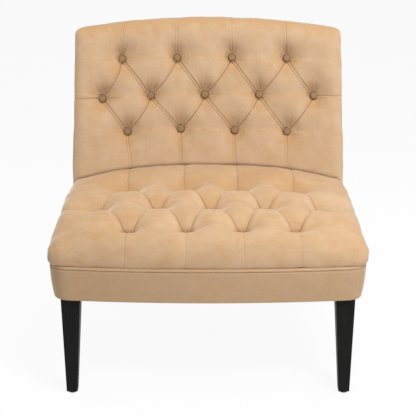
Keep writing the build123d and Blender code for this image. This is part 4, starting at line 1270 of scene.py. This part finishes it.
# Round the edge and along the rear, clear of the legs
def placeStaples():
    rear, gap = chair["rearDepth"] - stapleLook["rearInset"], stapleLook["endGap"]
    path, out, at = planOutline(stapleLook["inset"], rear, stapleLook["count"])
    spots = np.linspace(gap, at[-1] - gap, int(at[-1] / stapleLook["pitch"]))
    places = [np.interp(spots, at, line) for line in (path[:, 0], path[:, 1], -out[:, 1], out[:, 0])]
    places = list(zip(*places))
    for x in np.arange(*stapleLook["rearSpan"], stapleLook["pitch"]):
        places.append((x, float(faceY(x)) + rear, 1.0, -x / chair["backRadius"]))
    points, along = [], []
    for x, y, dx, dy in places:
        y = y - chair["middle"]
        away = min(max(abs(abs(x) - lx), abs(y - ly)) for lx, ly in stapleLook["legs"])
        if away >= stapleLook["legClear"]:
            points.append((x, y, stapleLook["high"]))
            along.append((dx, dy, 0.0))
    return points, along


dust = makeDust()
dust.data.materials.append(looks["blackCambric"])
staplePoints, stapleAlong = placeStaples()
staples = spreadShape("dustStaples", makeStapleShape(), looks["plainSteel"], staplePoints,
                      np.repeat([[0.0, 0.0, -1.0]], len(staplePoints), 0), stapleAlong,
                      stapleLook["spread"])
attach(dust, "root")
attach(staples, "root")
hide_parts("dust_cover")
print("outside back and dust sheet made,", len(staplePoints), "staples")


# floor, light and camera
stage = {
    "floorHalf": 9, "floorSeen": 0.93, "worldColour": (0.96, 0.98, 1.0, 1), "worldLight": 0.27,
    "paper": {"Base Color": (0.93, 0.93, 0.93, 1), "Roughness": 0.9, "Specular IOR Level": 0.1},
}


# White to the camera, directly or by gloss, and the given shader to all other light
def showWhite(tree, kind, shader, share, output):
    ray = addNode(tree, "ShaderNodeLightPath").outputs
    seen = doMath(tree, "MAXIMUM", ray["Is Glossy Ray"], ray["Is Transmission Ray"])
    seen = doMath(tree, "MAXIMUM", ray["Is Camera Ray"], seen)
    white = addNode(tree, kind, {"Color": (1, 1, 1, 1), "Strength": 1.0})
    blend = addNode(tree, "ShaderNodeMixShader", {
        0: doMath(tree, "MULTIPLY", seen, share), 1: shader.outputs[0], 2: white.outputs[0]})
    tree.links.new(blend.outputs[0], tree.nodes[output].inputs["Surface"])


far = stage["floorHalf"]
floorCorners = [(-far, -far, 0), (far, -far, 0), (far, far, 0), (-far, far, 0)]
floor = addMesh("studioFloor", floorCorners, [(0, 1, 2, 3)])
paper, tree, shader = newMaterial("studioPaper")
for socket, value in stage["paper"].items():
    shader.inputs[socket].default_value = value
showWhite(tree, "ShaderNodeEmission", shader, stage["floorSeen"], "Material Output")
floor.data.materials.append(paper)

world = bpy.data.worlds.new("studioWorld")
scene.world = world
world.use_nodes = True
soft = world.node_tree.nodes["Background"]
soft.inputs["Color"].default_value = stage["worldColour"]
soft.inputs["Strength"].default_value = stage["worldLight"]
showWhite(world.node_tree, "ShaderNodeBackground", soft, 1.0, "World Output")

lamps = {
    "keyLamp": {"at": (0.88, -1.45, 1.94), "aim": (0, 0, 0.5), "size": (0.8, 0.7), "watts": 35.2},
    "topLamp": {"at": (0.1, -0.3, 2.6), "aim": (0, 0, 0.4), "size": (1.6, 1.2), "watts": 20},
    "leftLamp": {"at": (-1.9, 0.7, 1.2), "aim": (0, 0, 0.5), "size": (0.8, 1.4), "watts": 12},
    "rightLamp": {"at": (1.9, 0.9, 1.2), "aim": (0, 0, 0.5), "size": (0.8, 1.4), "watts": 9},
}
for name, lamp in lamps.items():
    data = bpy.data.lights.new(name, "AREA")
    data.shape = "RECTANGLE"
    data.size, data.size_y = lamp["size"]
    data.energy = lamp["watts"]
    obj = bpy.data.objects.new(name, data)
    obj.location = lamp["at"]
    obj.rotation_euler = (Vector(lamp["aim"]) - Vector(lamp["at"])).to_track_quat("-Z", "Y").to_euler()
    scene.collection.objects.link(obj)

cameraLook = {"at": (0.0, -2.5108, 1.14), "tilt": 72.5, "lens": 92.16, "sensor": 36}
data = bpy.data.cameras.new("photoCamera")
data.lens = cameraLook["lens"]
data.sensor_width = cameraLook["sensor"]
camera = bpy.data.objects.new("photoCamera", data)
camera.location = cameraLook["at"]
camera.rotation_euler = (math.radians(cameraLook["tilt"]), 0, 0)
scene.collection.objects.link(camera)
scene.camera = camera
print("stage set")
